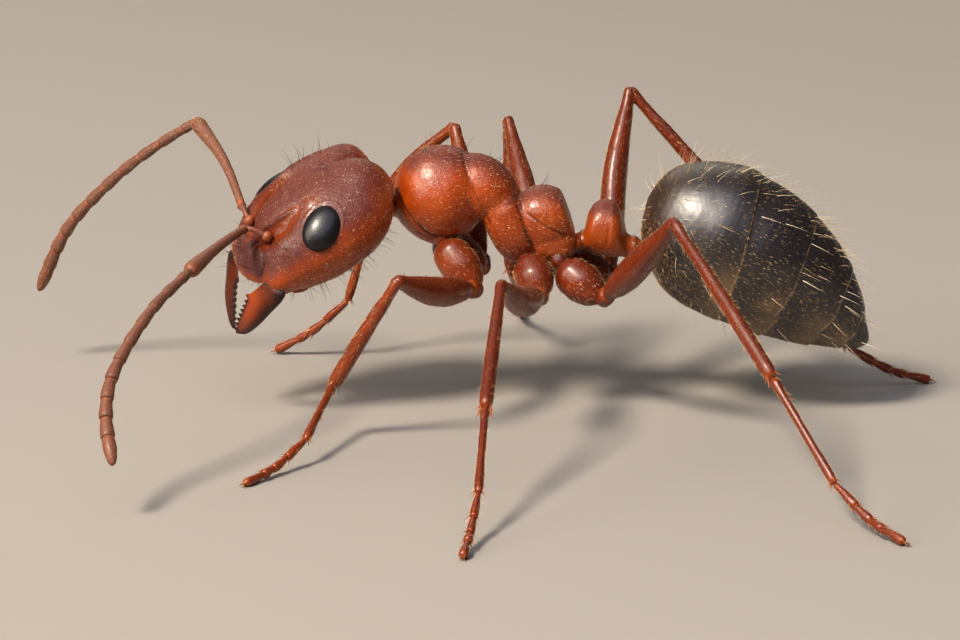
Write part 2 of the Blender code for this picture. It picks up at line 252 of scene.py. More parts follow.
def skin_mesh(name, parts):
    """One mesh of closed skins. Each part is its rings, its two tips and its paints by name.

    The UV map lays each part out as a strip of its own. The lie of the hair, from ring to ring, is
    kept with the paints, one value for each point.
    """
    points, faces, uvs, paints = [], [], [], {}
    begun = 0
    for number, (rings, tips, painted) in enumerate(parts):
        count, sides = rings.shape[:2]
        points += [rings.reshape(-1, 3), tips]
        lie = np.gradient(rings, axis=0).reshape(-1, 3)
        ends = np.array((lie[:sides].mean(0), lie[-sides:].mean(0)))
        painted = dict(painted, lie=np.concatenate((unit(lie + 1e-12), ends)))
        for key, value in painted.items():
            if key != "lie":
                value = np.broadcast_to(value, (count, sides)).reshape(-1)
                value = np.concatenate((value, (value[:sides].mean(), value[-sides:].mean())))
            paints.setdefault(key, []).append(value)
        ring, side = np.meshgrid(np.arange(count - 1), np.arange(sides), indexing="ij")
        ring, side = ring.ravel(), side.ravel()
        after = (side + 1) % sides
        quads = np.stack((ring * sides + side, ring * sides + after,
                          (ring + 1) * sides + after, (ring + 1) * sides + side), 1)
        flat_quads = np.stack((side, ring + 1, side + 1, ring + 1, side + 1, ring + 2, side, ring + 2), 1)
        side = np.arange(sides)
        after = (side + 1) % sides
        last = (count - 1) * sides
        front = np.stack((np.full(sides, count * sides), after, side), 1)
        rear = np.stack((np.full(sides, count * sides + 1), last + side, last + after), 1)
        faces += (quads + begun).tolist() + (front + begun).tolist() + (rear + begun).tolist()
        low, high = np.zeros(sides), np.full(sides, count)
        flat_front = np.stack((side + 0.5, low, side + 1, low + 1, side, low + 1), 1)
        flat_rear = np.stack((side + 0.5, high + 1, side, high, side + 1, high), 1)
        strip = np.array((number / len(parts), 0.0))
        scale = np.array((STRIP_FILL / len(parts) / sides, 1 / (count + 1)))
        uvs += [flat.reshape(-1, 2) * scale + strip for flat in (flat_quads, flat_front, flat_rear)]
        begun += count * sides + 2
    mesh = bpy.data.meshes.new(name)
    mesh.from_pydata((np.concatenate(points) * MM).tolist(), [], faces)
    mesh.shade_smooth()
    mesh.uv_layers.new(name="OFBake").uv.foreach_set("vector", np.concatenate(uvs).ravel())
    for key, values in paints.items():
        values = np.concatenate(values)
        kind, field = ("FLOAT_VECTOR", "vector") if key == "lie" else ("FLOAT", "value")
        mesh.attributes.new(key, kind, "POINT").data.foreach_set(field, values.ravel())
    return mesh


def finished(name, parts, finish, replaced=()):
    """A piece of the model: it rides on the one body and stands for the solids that it replaces."""
    mesh = skin_mesh(name, parts)
    mesh.materials.append(finish)
    made = bpy.data.objects.new(name, mesh)
    bpy.context.scene.collection.objects.link(made)
    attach(made, "root")
    if replaced:
        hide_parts(*replaced)
    return made


def dapple(points, size, seed):
    """Soft random blotches of a size in millimetres, from -1 to 1."""
    random = np.random.default_rng(seed)
    total = np.zeros(points.shape[:-1])
    for _ in range(12):
        wave = random.normal(size=3) / size * 2
        total += np.sin(points @ wave + random.uniform(0, 2 * pi))
    return total / 5


# Ant chitin: the shell lets some light through where it is thin, has a fine leathery grain that breaks
# up its gloss, and is duskier and more matt on top. The paints on the points say where it is dusky, dark
# or amber, and where it shines. On the tops of the red parts the dusky colour is partly the shell's own
# and partly a painted lilac sheen, and some of the dark is painted shade.
GRAIN = 0.026  # the leathery cells are finer than this on a real ant, and drawn so that they show
CLOUD_SIZE = 0.25  # of the shell's uneven colour


def shell_colour(tree, place, cloud_size, deep, bright, paints):
    """Two shades that cloud into each other, under the colours that the points' paints lay on."""
    cloud = add(tree, "ShaderNodeTexNoise",
                {"Vector": place, "Scale": 1 / (cloud_size * MM), "Detail": 4.0})
    colour = add(tree, "ShaderNodeMix", {0: cloud.outputs["Fac"], 6: linear(deep), 7: linear(bright)},
                 data_type="RGBA").outputs[2]
    for paint, over in paints.items():
        amount = add(tree, "ShaderNodeAttribute", attribute_name=paint).outputs["Fac"]
        colour = add(tree, "ShaderNodeMix", {0: amount, 6: colour, 7: linear(over)},
                     data_type="RGBA").outputs[2]
    return colour


def chitin(name, deep, bright, dusky, roughness=0.38, grain=0.5, glow=0.12, coat=0.15):
    """A shell finish: two reds, the colour of its dusky top, partly a painted sheen, and how rough, clear
    and glossy it is.
    """
    made, tree, output = empty_material(name)
    place = add(tree, "ShaderNodeTexCoord").outputs["Object"]
    cells = add(tree, "ShaderNodeTexVoronoi", {"Vector": place, "Scale": 1 / (GRAIN * MM)})
    shell = shell_colour(tree, place, CLOUD_SIZE, deep, bright,
                         {"dusk": dusky, "amber": "#c8651a", "dark": "#1c0a07"})
    bump = add(tree, "ShaderNodeBump",
               {"Height": cells.outputs["Distance"], "Strength": grain, "Distance": 0.016 * MM})
    # The same paint, partly a painted sheen, makes the shell rougher and less coated where it is dusky
    bloom = add(tree, "ShaderNodeAttribute", attribute_name="dusk").outputs["Fac"]
    shine = add(tree, "ShaderNodeAttribute", attribute_name="shine").outputs["Fac"]
    matt = add(tree, "ShaderNodeMapRange", {0: bloom, 3: roughness, 4: roughness + 0.16})
    polish = add(tree, "ShaderNodeMapRange", {0: bloom, 3: coat, 4: 0.2 * coat})
    polish = add(tree, "ShaderNodeMath", {0: polish.outputs[0], 1: shine}, operation="ADD",
                 use_clamp=True)
    shader = add(tree, "ShaderNodeBsdfPrincipled", {
        "Base Color": shell, "Roughness": matt.outputs[0], "IOR": 1.45,
        "Normal": bump.outputs["Normal"], "Subsurface Weight": glow,
        "Subsurface Radius": (1.0, 0.35, 0.12), "Subsurface Scale": 0.12 * MM,
        "Coat Weight": polish.outputs[0], "Coat Roughness": 0.24,
        "Sheen Weight": 0.02, "Sheen Roughness": 0.4, "Sheen Tint": linear("#ecd6cc"),
    })
    tree.links.new(shader.outputs["BSDF"], output.inputs["Surface"])
    return made


red_shell = chitin("red_chitin", "#7c2700", "#b85300", "#552a28", grain=0.4, glow=0.06, coat=0.55)

head_axes = np.array(
    Euler((0, 0, radians(HEAD_TURN))).to_matrix()
    @ Euler((0, radians(-HEAD_NOD), 0)).to_matrix()
    @ Euler((radians(HEAD_TILT), 0, 0)).to_matrix()
)


def middle_of(node):
    """The middle of a node's box, in millimetres."""
    low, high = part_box(node)
    return np.array((low + high) / 2) / MM


between_eyes = (middle_of("eye_left") + middle_of("eye_right")) / 2
head_place = between_eyes - head_axes @ EYE_MIDDLE


def from_head(places):
    """Places in the head's frame, in the world's."""
    return np.asarray(places) @ head_axes.T + head_place


rings, tips = drawn_out(HEAD, HEAD_RINGS, HEAD_SIDES, COAT)
outwards = normals_of(rings)
half = both_sides(rings)
x, y, z = half[..., 0], half[..., 1], half[..., 2]
# How far down the front margin of the clypeus hangs, lowest at its middle
margin = -0.045 + 0.05 * (y / 0.5) ** 2
pit = np.clip(near_line(half, PIT, 0.16), 0, 1) * eased(0.02, 0.12, -y)
# hollow: a wide mark round the feeler pit, used only to paint shade into it
hollow = near_line(half, PIT, 0.19) * eased(0.02, 0.12, -y)
hinge = spot(half, (-1.10, -0.68, -0.20), (0.10, 0.12, 0.14))
clypeus = eased(-0.93, -1.02, x - 0.5 * np.maximum(0, -y - 0.36)) * eased(0.52, 0.44, -y)
eye_axes = np.array((unit(EYE_ALONG), unit(np.cross(EYE_OUT, EYE_ALONG)), unit(EYE_OUT)))
eye_reach = np.linalg.norm(((half - EYE_PLACE) @ eye_axes.T)[..., :2] / EYE_SIZE[:2], axis=-1)
eye_rim = np.exp(-(((eye_reach - 1.04) / 0.05) ** 2)) * eased(0.2, 0.35, -y) * (z > -0.1)
furrow = near_line(half, FURROW, 0.05)
carina = near_line(half, CARINA, 0.035)
simple_eye = sum(spot(half, (*place, 0), (0.03, 0.03, np.inf)) for place in SIMPLE_EYES) * (z > 0)
edge = near_line(half, CLYPEUS_EDGE, 0.022)
raised = (
    0.045 * clypeus * (0.6 + 0.4 * np.cos(y / 0.5 * pi / 2)) * eased(-0.3, 0.0, z)
    - 0.10 * pit * (0.4 + 0.6 * eased(-0.15, -0.6, x))
    + 0.030 * carina
    - 0.016 * edge
    + 0.010 * eye_rim
    - 0.030 * furrow
    + 0.012 * simple_eye
    + 0.13 * spot(half, (1.18, -0.38, 0), (0.26, 0.28, np.inf)) * (z > 0)
    + 0.10 * spot(half, (-1.06, -0.60, -0.14), (0.17, 0.17, 0.20))
    + 0.020 * spot(half, (0.06, -0.46, 0), (0.12, 0.10, np.inf))
    + 0.010 * dapple(rings, 0.5, 1)
    + 0.0025 * dapple(rings, 0.05, 2)
)
rings = rings + outwards * raised[..., None]
mouth = eased(-0.01, 0.05, margin - z) * eased(-0.75, -0.95, x) * eased(0.66, 0.46, -y)
mouth *= eased(-0.50, -0.30, z)
rings[..., 0] += 0.40 * mouth
tips[0] = rings[0].mean(0)
# Where the head faces up it is painted duskier: partly the shell's own colour, partly a painted lilac
# sheen of the overhead light
top = eased(0.15, 0.75, outwards[..., 2] + 0.1 * dapple(rings, 0.3, 3))
# It shines between the eye and the brow, where its dusky top is also painted paler as a painted
# highlight, and less on the cheek, where silvery hairs stand too
shine = 0.8 * spot(half, (0.06, -0.47, 0), (0.20, 0.15, np.inf)) * (z > 0)
top *= 1 - 0.45 * shine
shine += 0.4 * spot(half, (-0.74, -0.66, 0), (0.18, 0.16, np.inf)) * (z > -0.2)
silver = np.clip(2 * shine, 0, 1)
shine -= 0.5 * np.clip(near_line(half, PIT, 0.24), 0, 1)
head_paints = {
    "dusk": np.clip(top * (1 - 0.9 * pit) * 0.9 + 0.3 * clypeus - 0.5 * eased(0.5, 0.9, pit), 0, 1),
    # Painted shade: the feeler pit and the wide hollow round it are painted darker
    "dark": np.clip(0.45 * near_line(half, CLYPEUS_EDGE, 0.014) + 0.75 * near_line(half, FURROW, 0.022)
                    + 0.7 * near_line(half, CARINA, 0.016) + 0.2 * near_line(half, PIT, 0.3)
                    + 0.8 * mouth + 0.8 * simple_eye + 0.4 * hollow + 0.6 * hinge, 0, 1),
    "amber": 0.1 * eased(0.1, -0.5, outwards[..., 2]),
    "coat": np.clip(1 - 1.6 * pit - mouth - 0.4 * top, 0, 1) * (eye_reach > 1.08),
    "shine": shine,
    "silver": silver,
    "setae": (1.0 * eased(0.45, 0.8, outwards[..., 2]) + 2.2 * eased(-0.4, -0.8, outwards[..., 2])
              + 3.0 * eased(-1.02, -1.2, x) * (z > -0.1)) * (eye_reach > 1.2) * (1 - pit),
}
parts = [(from_head(rings), from_head(tips), head_paints)]
head = finished("head_skin", parts, red_shell, ["head"])


# ---- Eyes: each a bulging oval of about a thousand six-sided lenses, near black with a blue-grey
# bloom, set into a thin raised rim of the head.
LENS = 0.026  # the width of one lens, drawn a little coarser than life so that it shows
EYE_SINK = {"left": 0.025, "right": 0.065}  # how deep in the head each eye's widest part lies
EYE_RINGS, EYE_SIDES = 64, 96
MIRRORS = {"left": np.array((1, 1, 1)), "right": np.array((1, -1, 1))}

eye_dark, tree, output = empty_material("eye_lenses")
place = add(tree, "ShaderNodeTexCoord").outputs["Object"]
lenses = add(tree, "ShaderNodeTexVoronoi", {"Vector": place, "Scale": 1 / (LENS * MM),
                                            "Randomness": 0.35})
domed = add(tree, "ShaderNodeMath", {0: 1.0, 1: lenses.outputs["Distance"]}, operation="SUBTRACT")
bump = add(tree, "ShaderNodeBump", {"Height": domed.outputs[0], "Strength": 0.35,
                                    "Distance": 0.006 * MM})
bloom = add(tree, "ShaderNodeTexNoise", {"Vector": place, "Scale": 1 / (0.12 * MM), "Detail": 3.0})
dark = add(tree, "ShaderNodeMix", {0: bloom.outputs["Fac"], 6: linear("#0d0b0c"), 7: linear("#1c1a1e")},
           data_type="RGBA").outputs[2]
shader = add(tree, "ShaderNodeBsdfPrincipled", {
    "Base Color": dark, "Roughness": 0.38, "IOR": 1.42, "Normal": bump.outputs["Normal"],
    "Coat Weight": 0.3, "Coat Roughness": 0.22,
})
tree.links.new(shader.outputs["BSDF"], output.inputs["Surface"])

turn = np.linspace(0, pi, EYE_RINGS + 2)[1:-1]
around = np.arange(EYE_SIDES) * 2 * pi / EYE_SIDES
ball = np.stack((np.outer(-np.cos(turn), np.ones(EYE_SIDES)),
                 np.outer(np.sin(turn), np.cos(around)), np.outer(np.sin(turn), np.sin(around))), -1)
for side, mirror in MIRRORS.items():
    out = unit(EYE_OUT * mirror)
    along = unit(EYE_ALONG * mirror)
    axes = np.array((along, np.cross(out, along), out))
    centre = EYE_PLACE * mirror - out * EYE_SINK[side]
    skin = from_head(ball * EYE_SIZE @ axes + centre)
    ends = from_head(np.array(((-EYE_SIZE[0], 0, 0), (EYE_SIZE[0], 0, 0))) @ axes + centre)
    finished("eye_ball_" + side, [(skin, ends, {})], eye_dark, ["eye_" + side])


# ---- Mandibles: two flat toothed blades hinged at the front corners of the head, hard and glossy,
# orange-brown with near black teeth; the far one is painted dark all over as painted shade. They bow
# outwards, so their hollow sides face each other.
HINGE = (-1.205, -0.665, -0.125)
BLADE_ALONG = (-0.75, 0.57, -0.75)
BLADE_ACROSS = (-0.14, 0.717, 0.684)
BLADE_OUTER = ((-0.20, -0.04), (-0.12, -0.19), (0.04, -0.21), (0.30, -0.19), (0.58, -0.17),
               (0.83, -0.135), (1.03, -0.07), (1.15, 0.055))
BLADE_INNER = ((-0.20, 0.00), (-0.12, 0.12), (0.00, 0.20), (0.20, 0.235), (0.30, 0.255), (0.36, 0.275),
               (0.48, 0.225), (0.70, 0.18), (0.90, 0.14), (1.03, 0.105), (1.15, 0.075))
BLADE_ROLL = {"left": 0.0, "right": -25.0}  # how far each is turned about its own length
# The far blade is painted dark all over as painted shade
BLADE_PAINTED_SHADE = {"left": 0.0, "right": 0.72}  # how dark the whole of each blade is at the least
TOOTHED = (0.34, 1.14)  # the stretch of the inner edge that bears teeth
TEETH = 8
TOOTH_HEIGHT = 0.085
BLADE_HALF_THICKNESS = 0.085
BLADE_BOW = 0.07
BLADE_RINGS, BLADE_SIDES = 220, 56

jaw_shell = chitin("jaw_chitin", "#662204", "#8e3806", "#37140b", roughness=0.32, grain=0.3, coat=0.3)

reach = np.linspace(BLADE_OUTER[0][0], BLADE_OUTER[-1][0], BLADE_RINGS + 2)[1:-1]
outer = curve_through(*np.array(BLADE_OUTER).T, reach)
inner = curve_through(*np.array(BLADE_INNER).T, reach)
toothed = (reach - TOOTHED[0]) / (TOOTHED[1] - TOOTHED[0])
bite = (toothed * TEETH) % 1
tooth = np.where(bite < 0.72, bite / 0.72, (1 - bite) / 0.28) ** 1.2
tooth = np.where((toothed > 0) & (toothed < 1), tooth, 0) * (0.6 + 0.4 * toothed) * TOOTH_HEIGHT
turn = np.arange(BLADE_SIDES) * 2 * pi / BLADE_SIDES
share = (1 - np.cos(turn)) / 2
thick = BLADE_HALF_THICKNESS * (1 + 0.25 * eased(0.3, 0.0, reach)) * eased(-0.19, -0.05, reach)
thick = thick * (1 - 0.45 * eased(0.6, 1.12, reach))
blade = np.empty((BLADE_RINGS, BLADE_SIDES, 3))
blade[..., 0] = reach[:, None]
blade[..., 1] = outer[:, None] + (inner - outer)[:, None] * share + tooth[:, None] * share**6
blade[..., 2] = thick[:, None] * np.sin(turn) * (1 - 0.72 * share)
ribs = 0.002 * np.sin(blade[..., 1] / 0.03 * pi) * eased(0.1, 0.4, blade[..., 0])
blade[..., 2] += ribs * np.sin(turn)
blade[..., 2] += BLADE_BOW * np.sin(pi * reach / 1.12)[:, None] * (1 - 0.5 * (2 * share - 1) ** 2)
tooth_paint = eased(0.80, 0.97, share) * eased(0.34, 0.42, reach)[:, None]
base_paint = eased(0.10, -0.08, reach)[:, None] * 0.6 + eased(1.0, 1.1, reach)[:, None]
blade_paints = {
    "dusk": np.clip(0.2 + 0.3 * dapple(blade, 0.3, 5) + 0.4 * eased(0.8, 1.1, reach)[:, None], 0, 1),
    "amber": 0.15 * eased(0.2, 0.8, share) * (1 - tooth_paint),
    "coat": eased(0.9, 0.6, share) * np.ones((BLADE_RINGS, 1)),
}
blade_tips = np.array(((reach[0] - 0.01, inner[0] / 2 + outer[0] / 2, 0),
                       (reach[-1] + 0.01, inner[-1] / 2 + outer[-1] / 2, 0)))
jaws = {}
for side, mirror in MIRRORS.items():
    along, across = unit(BLADE_ALONG * mirror), unit(BLADE_ACROSS * mirror)
    across = unit(across - along * (across @ along))
    through = np.cross(across, along) * mirror[1]
    roll = radians(BLADE_ROLL[side])
    across, through = (across * cos(roll) + np.cross(along, across) * sin(roll),
                       through * cos(roll) + np.cross(along, through) * sin(roll))
    axes = np.array((along, across, through))
    flip = slice(None, None, -int(mirror[1]))
    # Dark outer margin, and on the far blade painted shade all over
    edge_and_shade_paint = np.maximum(eased(0.55, 0.05, share) * 0.85, BLADE_PAINTED_SHADE[side])
    blade_paints["dark"] = np.clip(tooth_paint + edge_and_shade_paint + base_paint, 0, 1) * 0.92
    skin = from_head(blade @ axes + HINGE * mirror)[:, flip]
    paints = {key: value[:, flip] for key, value in blade_paints.items()}
    ends = from_head(blade_tips @ axes + HINGE * mirror)
    parts = [(skin, ends, paints)]
    jaws[side] = finished("jaw_" + side, parts, jaw_shell, ["mandible_" + side])


# ---- Feelers: each a ball seated in its pit, a thin bent neck and a long shaft, then a whip of eleven
# short joints. Mauve-brown, with amber at the joints, under a very fine pale down.
SEAT_RADIUS = 0.085
SHAFT_RADIUS = 0.118
WHIP_RADIUS = 0.088
WHIP_STEPS = 400  # places along it
TIP_INSET = 0.28  # how far the tip's middle is from the end of its solid
# Where a feeler's thin neck carries it before the shaft begins: back, right and up from its seat. The
# left one rises over the brow and the right one leaves straight.
NECK_BENDS = {"left": (-0.21, 0.23, 0.22), "right": None}
SHAFT_BOWS = {"left": (0.0, 0.0, 0.035), "right": (0.075, 0.0, 0.05)}  # of each shaft's middle
# The whip's own bends past its two straight lengths: where it droops or hooks, by side
WHIP_BENDS = {"left": ((0.06, 0.0, 0.14), (0.17, 0.01, 0.0), (-0.03, -0.01, 0.04)),
              "right": ((0.02, 0.0, 0.07), (0.0, 0.0, 0.0), (-0.13, 0.0, 0.12))}
# The whip's joints from the elbow to the tip, as shares of its length
WHIP_JOINTS = (0.30, 0.52, 0.46, 0.45, 0.44, 0.42, 0.40, 0.38, 0.36, 0.34, 0.50)
# Radii along each part: a share of the way and a radius, which for a joint is a share of the whip's
NECK_RADII = ((0, 0.06), (0.3, 0.036), (0.7, 0.044), (1, 0.078))
SHAFT_RADII = ((0, 0.05), (0.04, 0.064), (0.3, 0.072), (0.6, 0.088), (0.85, SHAFT_RADIUS),
               (0.95, SHAFT_RADIUS * 1.08), (1, SHAFT_RADIUS * 0.8))
FIRST_JOINT = ((0, 0.62), (0.12, 0.86), (0.4, 0.94), (0.82, 1.04), (0.96, 1.0), (1, 0.84))
OTHER_JOINTS = ((0, 0.84), *FIRST_JOINT[1:])
LAST_JOINT = ((0, 0.84), (0.12, 0.92), (0.3, 0.96), (0.6, 0.84), (0.85, 0.6), (0.95, 0.36), (1, 0.08))

feeler_shell = chitin("feeler_chitin", "#6e3a24", "#8c5232", "#6a4a40",
                      roughness=0.42, glow=0.12, coat=0.3)


def cells_of(node):
    """The corners of a node's mesh, in millimetres."""
    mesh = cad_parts[node].data
    places = np.empty(len(mesh.vertices) * 3)
    mesh.vertices.foreach_get("co", places)
    return np.unique(np.round(places.reshape(-1, 3) / MM, 4), axis=0)


def meeting(first, second):
    """The middle of the thin cut between two nodes of a limb."""
    a, b = cells_of(first), cells_of(second)
    apart = np.linalg.norm(a[:, None] - b[None], axis=-1)
    rim = np.concatenate((a[apart.min(1) < 0.05], b[apart.min(0) < 0.05]))
    return (rim.max(0) + rim.min(0)) / 2


def far_end(node, joint, radius):
    """The end of a limb's last node, its rounded tip's radius short of its furthest point."""
    corners = cells_of(node)
    furthest = corners[np.linalg.norm(corners - joint, axis=-1).argmax()]
    return furthest + unit(joint - furthest) * radius


def smooth_path(points, count):
    """Evenly spaced places along a smooth curve through points."""
    points = np.array(points, float)
    slopes = np.gradient(points, axis=0)
    run = []
    for i in range(len(points) - 1):
        t = np.linspace(0, 1, 60)[:, None]
        run.append(
            (1 + 2 * t) * (1 - t) ** 2 * points[i] + t * (1 - t) ** 2 * slopes[i]
            + t * t * (3 - 2 * t) * points[i + 1] + t * t * (t - 1) * slopes[i + 1]
        )
    run = np.concatenate(run)
    far = np.concatenate(([0], np.cumsum(np.linalg.norm(np.diff(run, axis=0), axis=1))))
    keep = np.concatenate(([True], np.diff(far) > 1e-9))
    at = np.linspace(0, far[-1], count)
    return np.stack([np.interp(at, far[keep], run[keep, k]) for k in range(3)], 1)


def tube(path, radius, sides=22, up=(0, 0, 1), flat=1.0):
    """Rings round a path with a radius at each place, and the path's two ends as tips."""
    ahead = unit(np.gradient(path, axis=0))
    up = unit(np.array(up) - ahead * (ahead @ np.array(up, float))[:, None])
    out = np.cross(up, ahead)
    turn = np.arange(sides) * 2 * pi / sides
    spoke = (np.cos(turn)[None, :, None] * out[:, None] * flat + np.sin(turn)[None, :, None] * up[:, None])
    rings = path[:, None] + np.broadcast_to(radius, len(path))[:, None, None] * spoke
    first = path[0] - ahead[0] * radius[0] * 0.35
    last = path[-1] + ahead[-1] * radius[-1] * 0.35
    return rings, np.array((first, last))


def profile(rows, count):
    """A radius at each of some evenly spaced places, smooth through rows of (share, radius)."""
    return curve_through(*np.array(rows, float).T, np.linspace(0, 1, count))


feelers = {}
for side, mirror in MIRRORS.items():
    seat = from_head(SOCKET * mirror)
    elbow = meeting("scape_" + side, "feeler_mid_" + side)
    bend = meeting("feeler_mid_" + side, "feeler_tip_" + side)
    tip = far_end("feeler_tip_" + side, bend, TIP_INSET)
    ahead = unit(elbow - seat)
    turns = np.linspace(0.25, pi - 0.25, 14)
    ball = seat - ahead * SEAT_RADIUS * np.cos(turns)[:, None]
    ball_paints = {"dusk": 0.2, "dark": 0.0, "amber": 0.2, "coat": 0.0}
    arch = 0.06 * head_axes[:, 2]
    root = seat + ahead * 0.30
    if NECK_BENDS[side]:
        root = from_head((SOCKET + NECK_BENDS[side]) * mirror)
    neck = smooth_path((seat, (seat + root) / 2 + arch, root, root + unit(elbow - root) * 0.06), 26)
    shaft = smooth_path((root, (root + elbow) / 2 + SHAFT_BOWS[side], elbow), 60)
    along = np.linspace(0, 1, 60)[:, None]
    shaft_amber = 0.5 * eased(0.10, 0.0, along) + 0.15 * eased(0.93, 1, along)
    parts = [
        (*tube(ball, SEAT_RADIUS * np.sin(turns)), ball_paints),
        (*tube(neck, profile(NECK_RADII, 26)), dict(ball_paints, dusk=0.7, amber=0.1)),
        (*tube(shaft, profile(SHAFT_RADII, 60)),
         {"dusk": 0.55, "dark": 0.0, "amber": shaft_amber, "coat": eased(0.02, 0.1, along)}),
    ]
    bows = [np.array(step) for step in WHIP_BENDS[side]]
    whip = smooth_path((elbow, (elbow + bend) / 2 + bows[0], bend + bows[1], (bend + tip) / 2 + bows[2],
                        tip), WHIP_STEPS)
    ends = (np.cumsum((0,) + WHIP_JOINTS) / sum(WHIP_JOINTS) * (WHIP_STEPS - 1)).astype(int)
    shapes = (FIRST_JOINT, *[OTHER_JOINTS] * 9, LAST_JOINT)
    along = np.linspace(0, 1, 24)[:, None]
    for number, shape in enumerate(shapes):
        path = whip[ends[number] : ends[number + 1] + 1 : 2]
        path = smooth_path((path[0], path[len(path) // 2], path[-1]), 24)
        last = shape is LAST_JOINT
        further = number / 10
        radius = WHIP_RADIUS * (0.92 + 0.34 * further) * profile(shape, 24)
        parts.append((*tube(path, radius), {
            "dusk": 0.75 - 0.25 * further,
            "dark": 0.25 * eased(0.9, 1.0, along) * (not last),
            "amber": 0.22 * eased(0.16, 0.0, along) * (not last) + 0.03 * last,
            "coat": 1.0,
        }))
    replaced = [name + side for name in ("scape_", "feeler_mid_", "feeler_tip_")]
    feelers[side] = finished("feeler_" + side, parts, feeler_shell, replaced)


# ---- Mouthparts: a soft lip and tongue tucked in the gap under the clypeus, and four jointed palps
# folded back beneath the head. Amber, the lip a little darker than the palps.
LIP = ((-1.12, 0.0, 0.06), (-1.02, 0.0, -0.14), (-0.86, 0.0, -0.36))
PALPS = (
    ((-0.96, -0.20, -0.38), (-0.82, -0.30, -0.66), (-0.45, -0.26, -0.80), (-0.02, -0.22, -0.86)),
    ((-0.92, -0.08, -0.42), (-0.80, -0.10, -0.66), (-0.60, -0.09, -0.76), (-0.40, -0.08, -0.80)),
)
LIP_RADII = ((0, 0.02), (0.3, 0.15), (0.7, 0.20), (1, 0.06))
PALP_STEPS = 40  # places along each of a palp's four joints
PALP_JOINT = ((0, 0.022), (0.15, 0.030), (0.85, 0.036), (1, 0.022))
soft = {"dusk": 0.3, "dark": 0.25, "amber": 0.4, "coat": 0.2}
lip = tube(smooth_path(from_head(LIP), 40), profile(LIP_RADII, 40), sides=40, up=head_axes[:, 0], flat=1.9)
parts = [(*lip, soft)]
for row in PALPS:
    for mirror in MIRRORS.values():
        palp = smooth_path(from_head(np.array(row) * mirror), 4 * PALP_STEPS)
        for path in np.split(palp, 4):
            joint = tube(path, profile(PALP_JOINT, PALP_STEPS), sides=14)
            parts.append((*joint, dict(soft, dark=0.0, coat=1.0)))
finished("mouthparts", parts, red_shell)


# ---- Thorax: three red plates grown together, the round one behind the neck, the saddle of the middle
# and the hump at the rear, with seams that lean back towards the legs. The neck is one skin with it.
LEAN = 0.39  # how far a seam leans forward for each millimetre up
LEAN_HEIGHT = 3.30
THORAX_RINGS, THORAX_SIDES = 230, 250
# The line inside the thorax that its rings are drawn round: back and up
SPINE = ((-2.70, 3.27), (-2.2, 3.30), (-1.5, 3.42), (-1.0, 3.40), (-0.5, 3.15), (0.0, 2.98), (0.47, 2.86))
# Lobes of the thorax: how far back and up the middle is, half of length, width and height, how many
# degrees its front is raised, and how squarely its corners are filled
THORAX_LOBES = {
    "neck": ((-2.30, 3.25), (0.44, 0.24, 0.22), 5, 2.0),
    "throat": ((-1.95, 3.06), (0.60, 0.46, 0.32), 37, 2.0),
    "shoulder": ((-1.66, 3.47), (0.76, 0.73, 0.78), 10, 2.1),
    "saddle": ((-0.99, 3.56), (0.62, 0.55, 0.51), 38, 2.1),
    "side": ((-0.54, 3.00), (0.66, 0.57, 0.40), 66, 2.5),
    "hump": ((-0.03, 3.05), (0.55, 0.51, 0.57), 24, 2.2),
    "rear": ((0.10, 2.68), (0.44, 0.47, 0.32), 0, 2.3),
}
# Lines on its left side: the rear plates' ridge, the side plate's seam, the seam ahead of the hump, the
# shoulder's lower flange and the rear plate's breathing hole
RIDGE = ((-0.36, -0.45, 3.33), (-0.04, -0.48, 3.10), (0.22, -0.46, 2.95), (0.44, -0.30, 2.84))
SIDE_SEAM = ((-0.92, -0.53, 3.33), (-0.66, -0.53, 3.38), (-0.40, -0.42, 3.42))
REAR_SEAM = ((-0.44, 0.0, 3.53), (-0.42, -0.38, 3.45), (-0.33, -0.45, 3.12), (-0.235, -0.48, 2.89),
             (-0.10, -0.36, 2.54))
FLANGE = ((-2.36, 0, 3.56), (-2.14, 0, 3.22), (-1.83, 0, 2.90), (-1.57, 0, 2.78), (-1.31, 0, 2.85))
BREATHING_HOLE = ((0.10, -0.47, 3.22), (0.12, -0.46, 3.16))

body_place = np.array((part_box("pronotum")[0].x / MM + 2.37, middle_of("gaster_2")[1], 0.0))


def lobe_depth(points, lobe):
    """How far each point lies outside a rounded lobe, less than 0 inside it."""
    (back, up), sizes, pitch, square = lobe
    offset = points - (back, 0, up)
    c, s = cos(radians(pitch)), sin(radians(pitch))
    turned = np.stack((offset[..., 0] * c - offset[..., 2] * s, offset[..., 1],
                       offset[..., 0] * s + offset[..., 2] * c), -1)
    share = np.abs(turned / sizes) ** square
    reach = share.sum(-1) ** (1 / square)
    return (reach - 1) * min(sizes)


def smoothly_joined(depths, blend):
    """The depth outside several lobes at once, with the creases between them filled a little."""
    return -blend * np.log(sum(np.exp(-depth / blend) for depth in depths))


def blown_out(middles, across, up, depth, furthest, sides):
    """Rings round middles, each point pushed out until it meets the outermost skin of a depth."""
    turn = np.arange(sides) * 2 * pi / sides
    spokes = np.cos(turn)[:, None] * np.array(across) + np.sin(turn)[:, None] * np.array(up)
    steps = np.linspace(0, furthest, 64)
    low = np.zeros((len(middles), sides))
    for step in steps:
        inside = depth(middles[:, None] + spokes[None] * step) < 0
        low = np.where(inside, step, low)
    high = low + steps[1]
    for _ in range(12):  # halves the gap between inside and outside each time
        mid = (low + high) / 2
        inside = depth(middles[:, None] + spokes[None] * mid[..., None]) < 0
        low, high = np.where(inside, mid, low), np.where(inside, high, mid)
    return middles[:, None] + spokes[None] * low[..., None]


def thorax_depth(points):
    """How far each point lies outside the thorax's skin."""
    lobes = [lobe_depth(points, lobe) for lobe in THORAX_LOBES.values()]
    return smoothly_joined(lobes, 0.014) + COAT


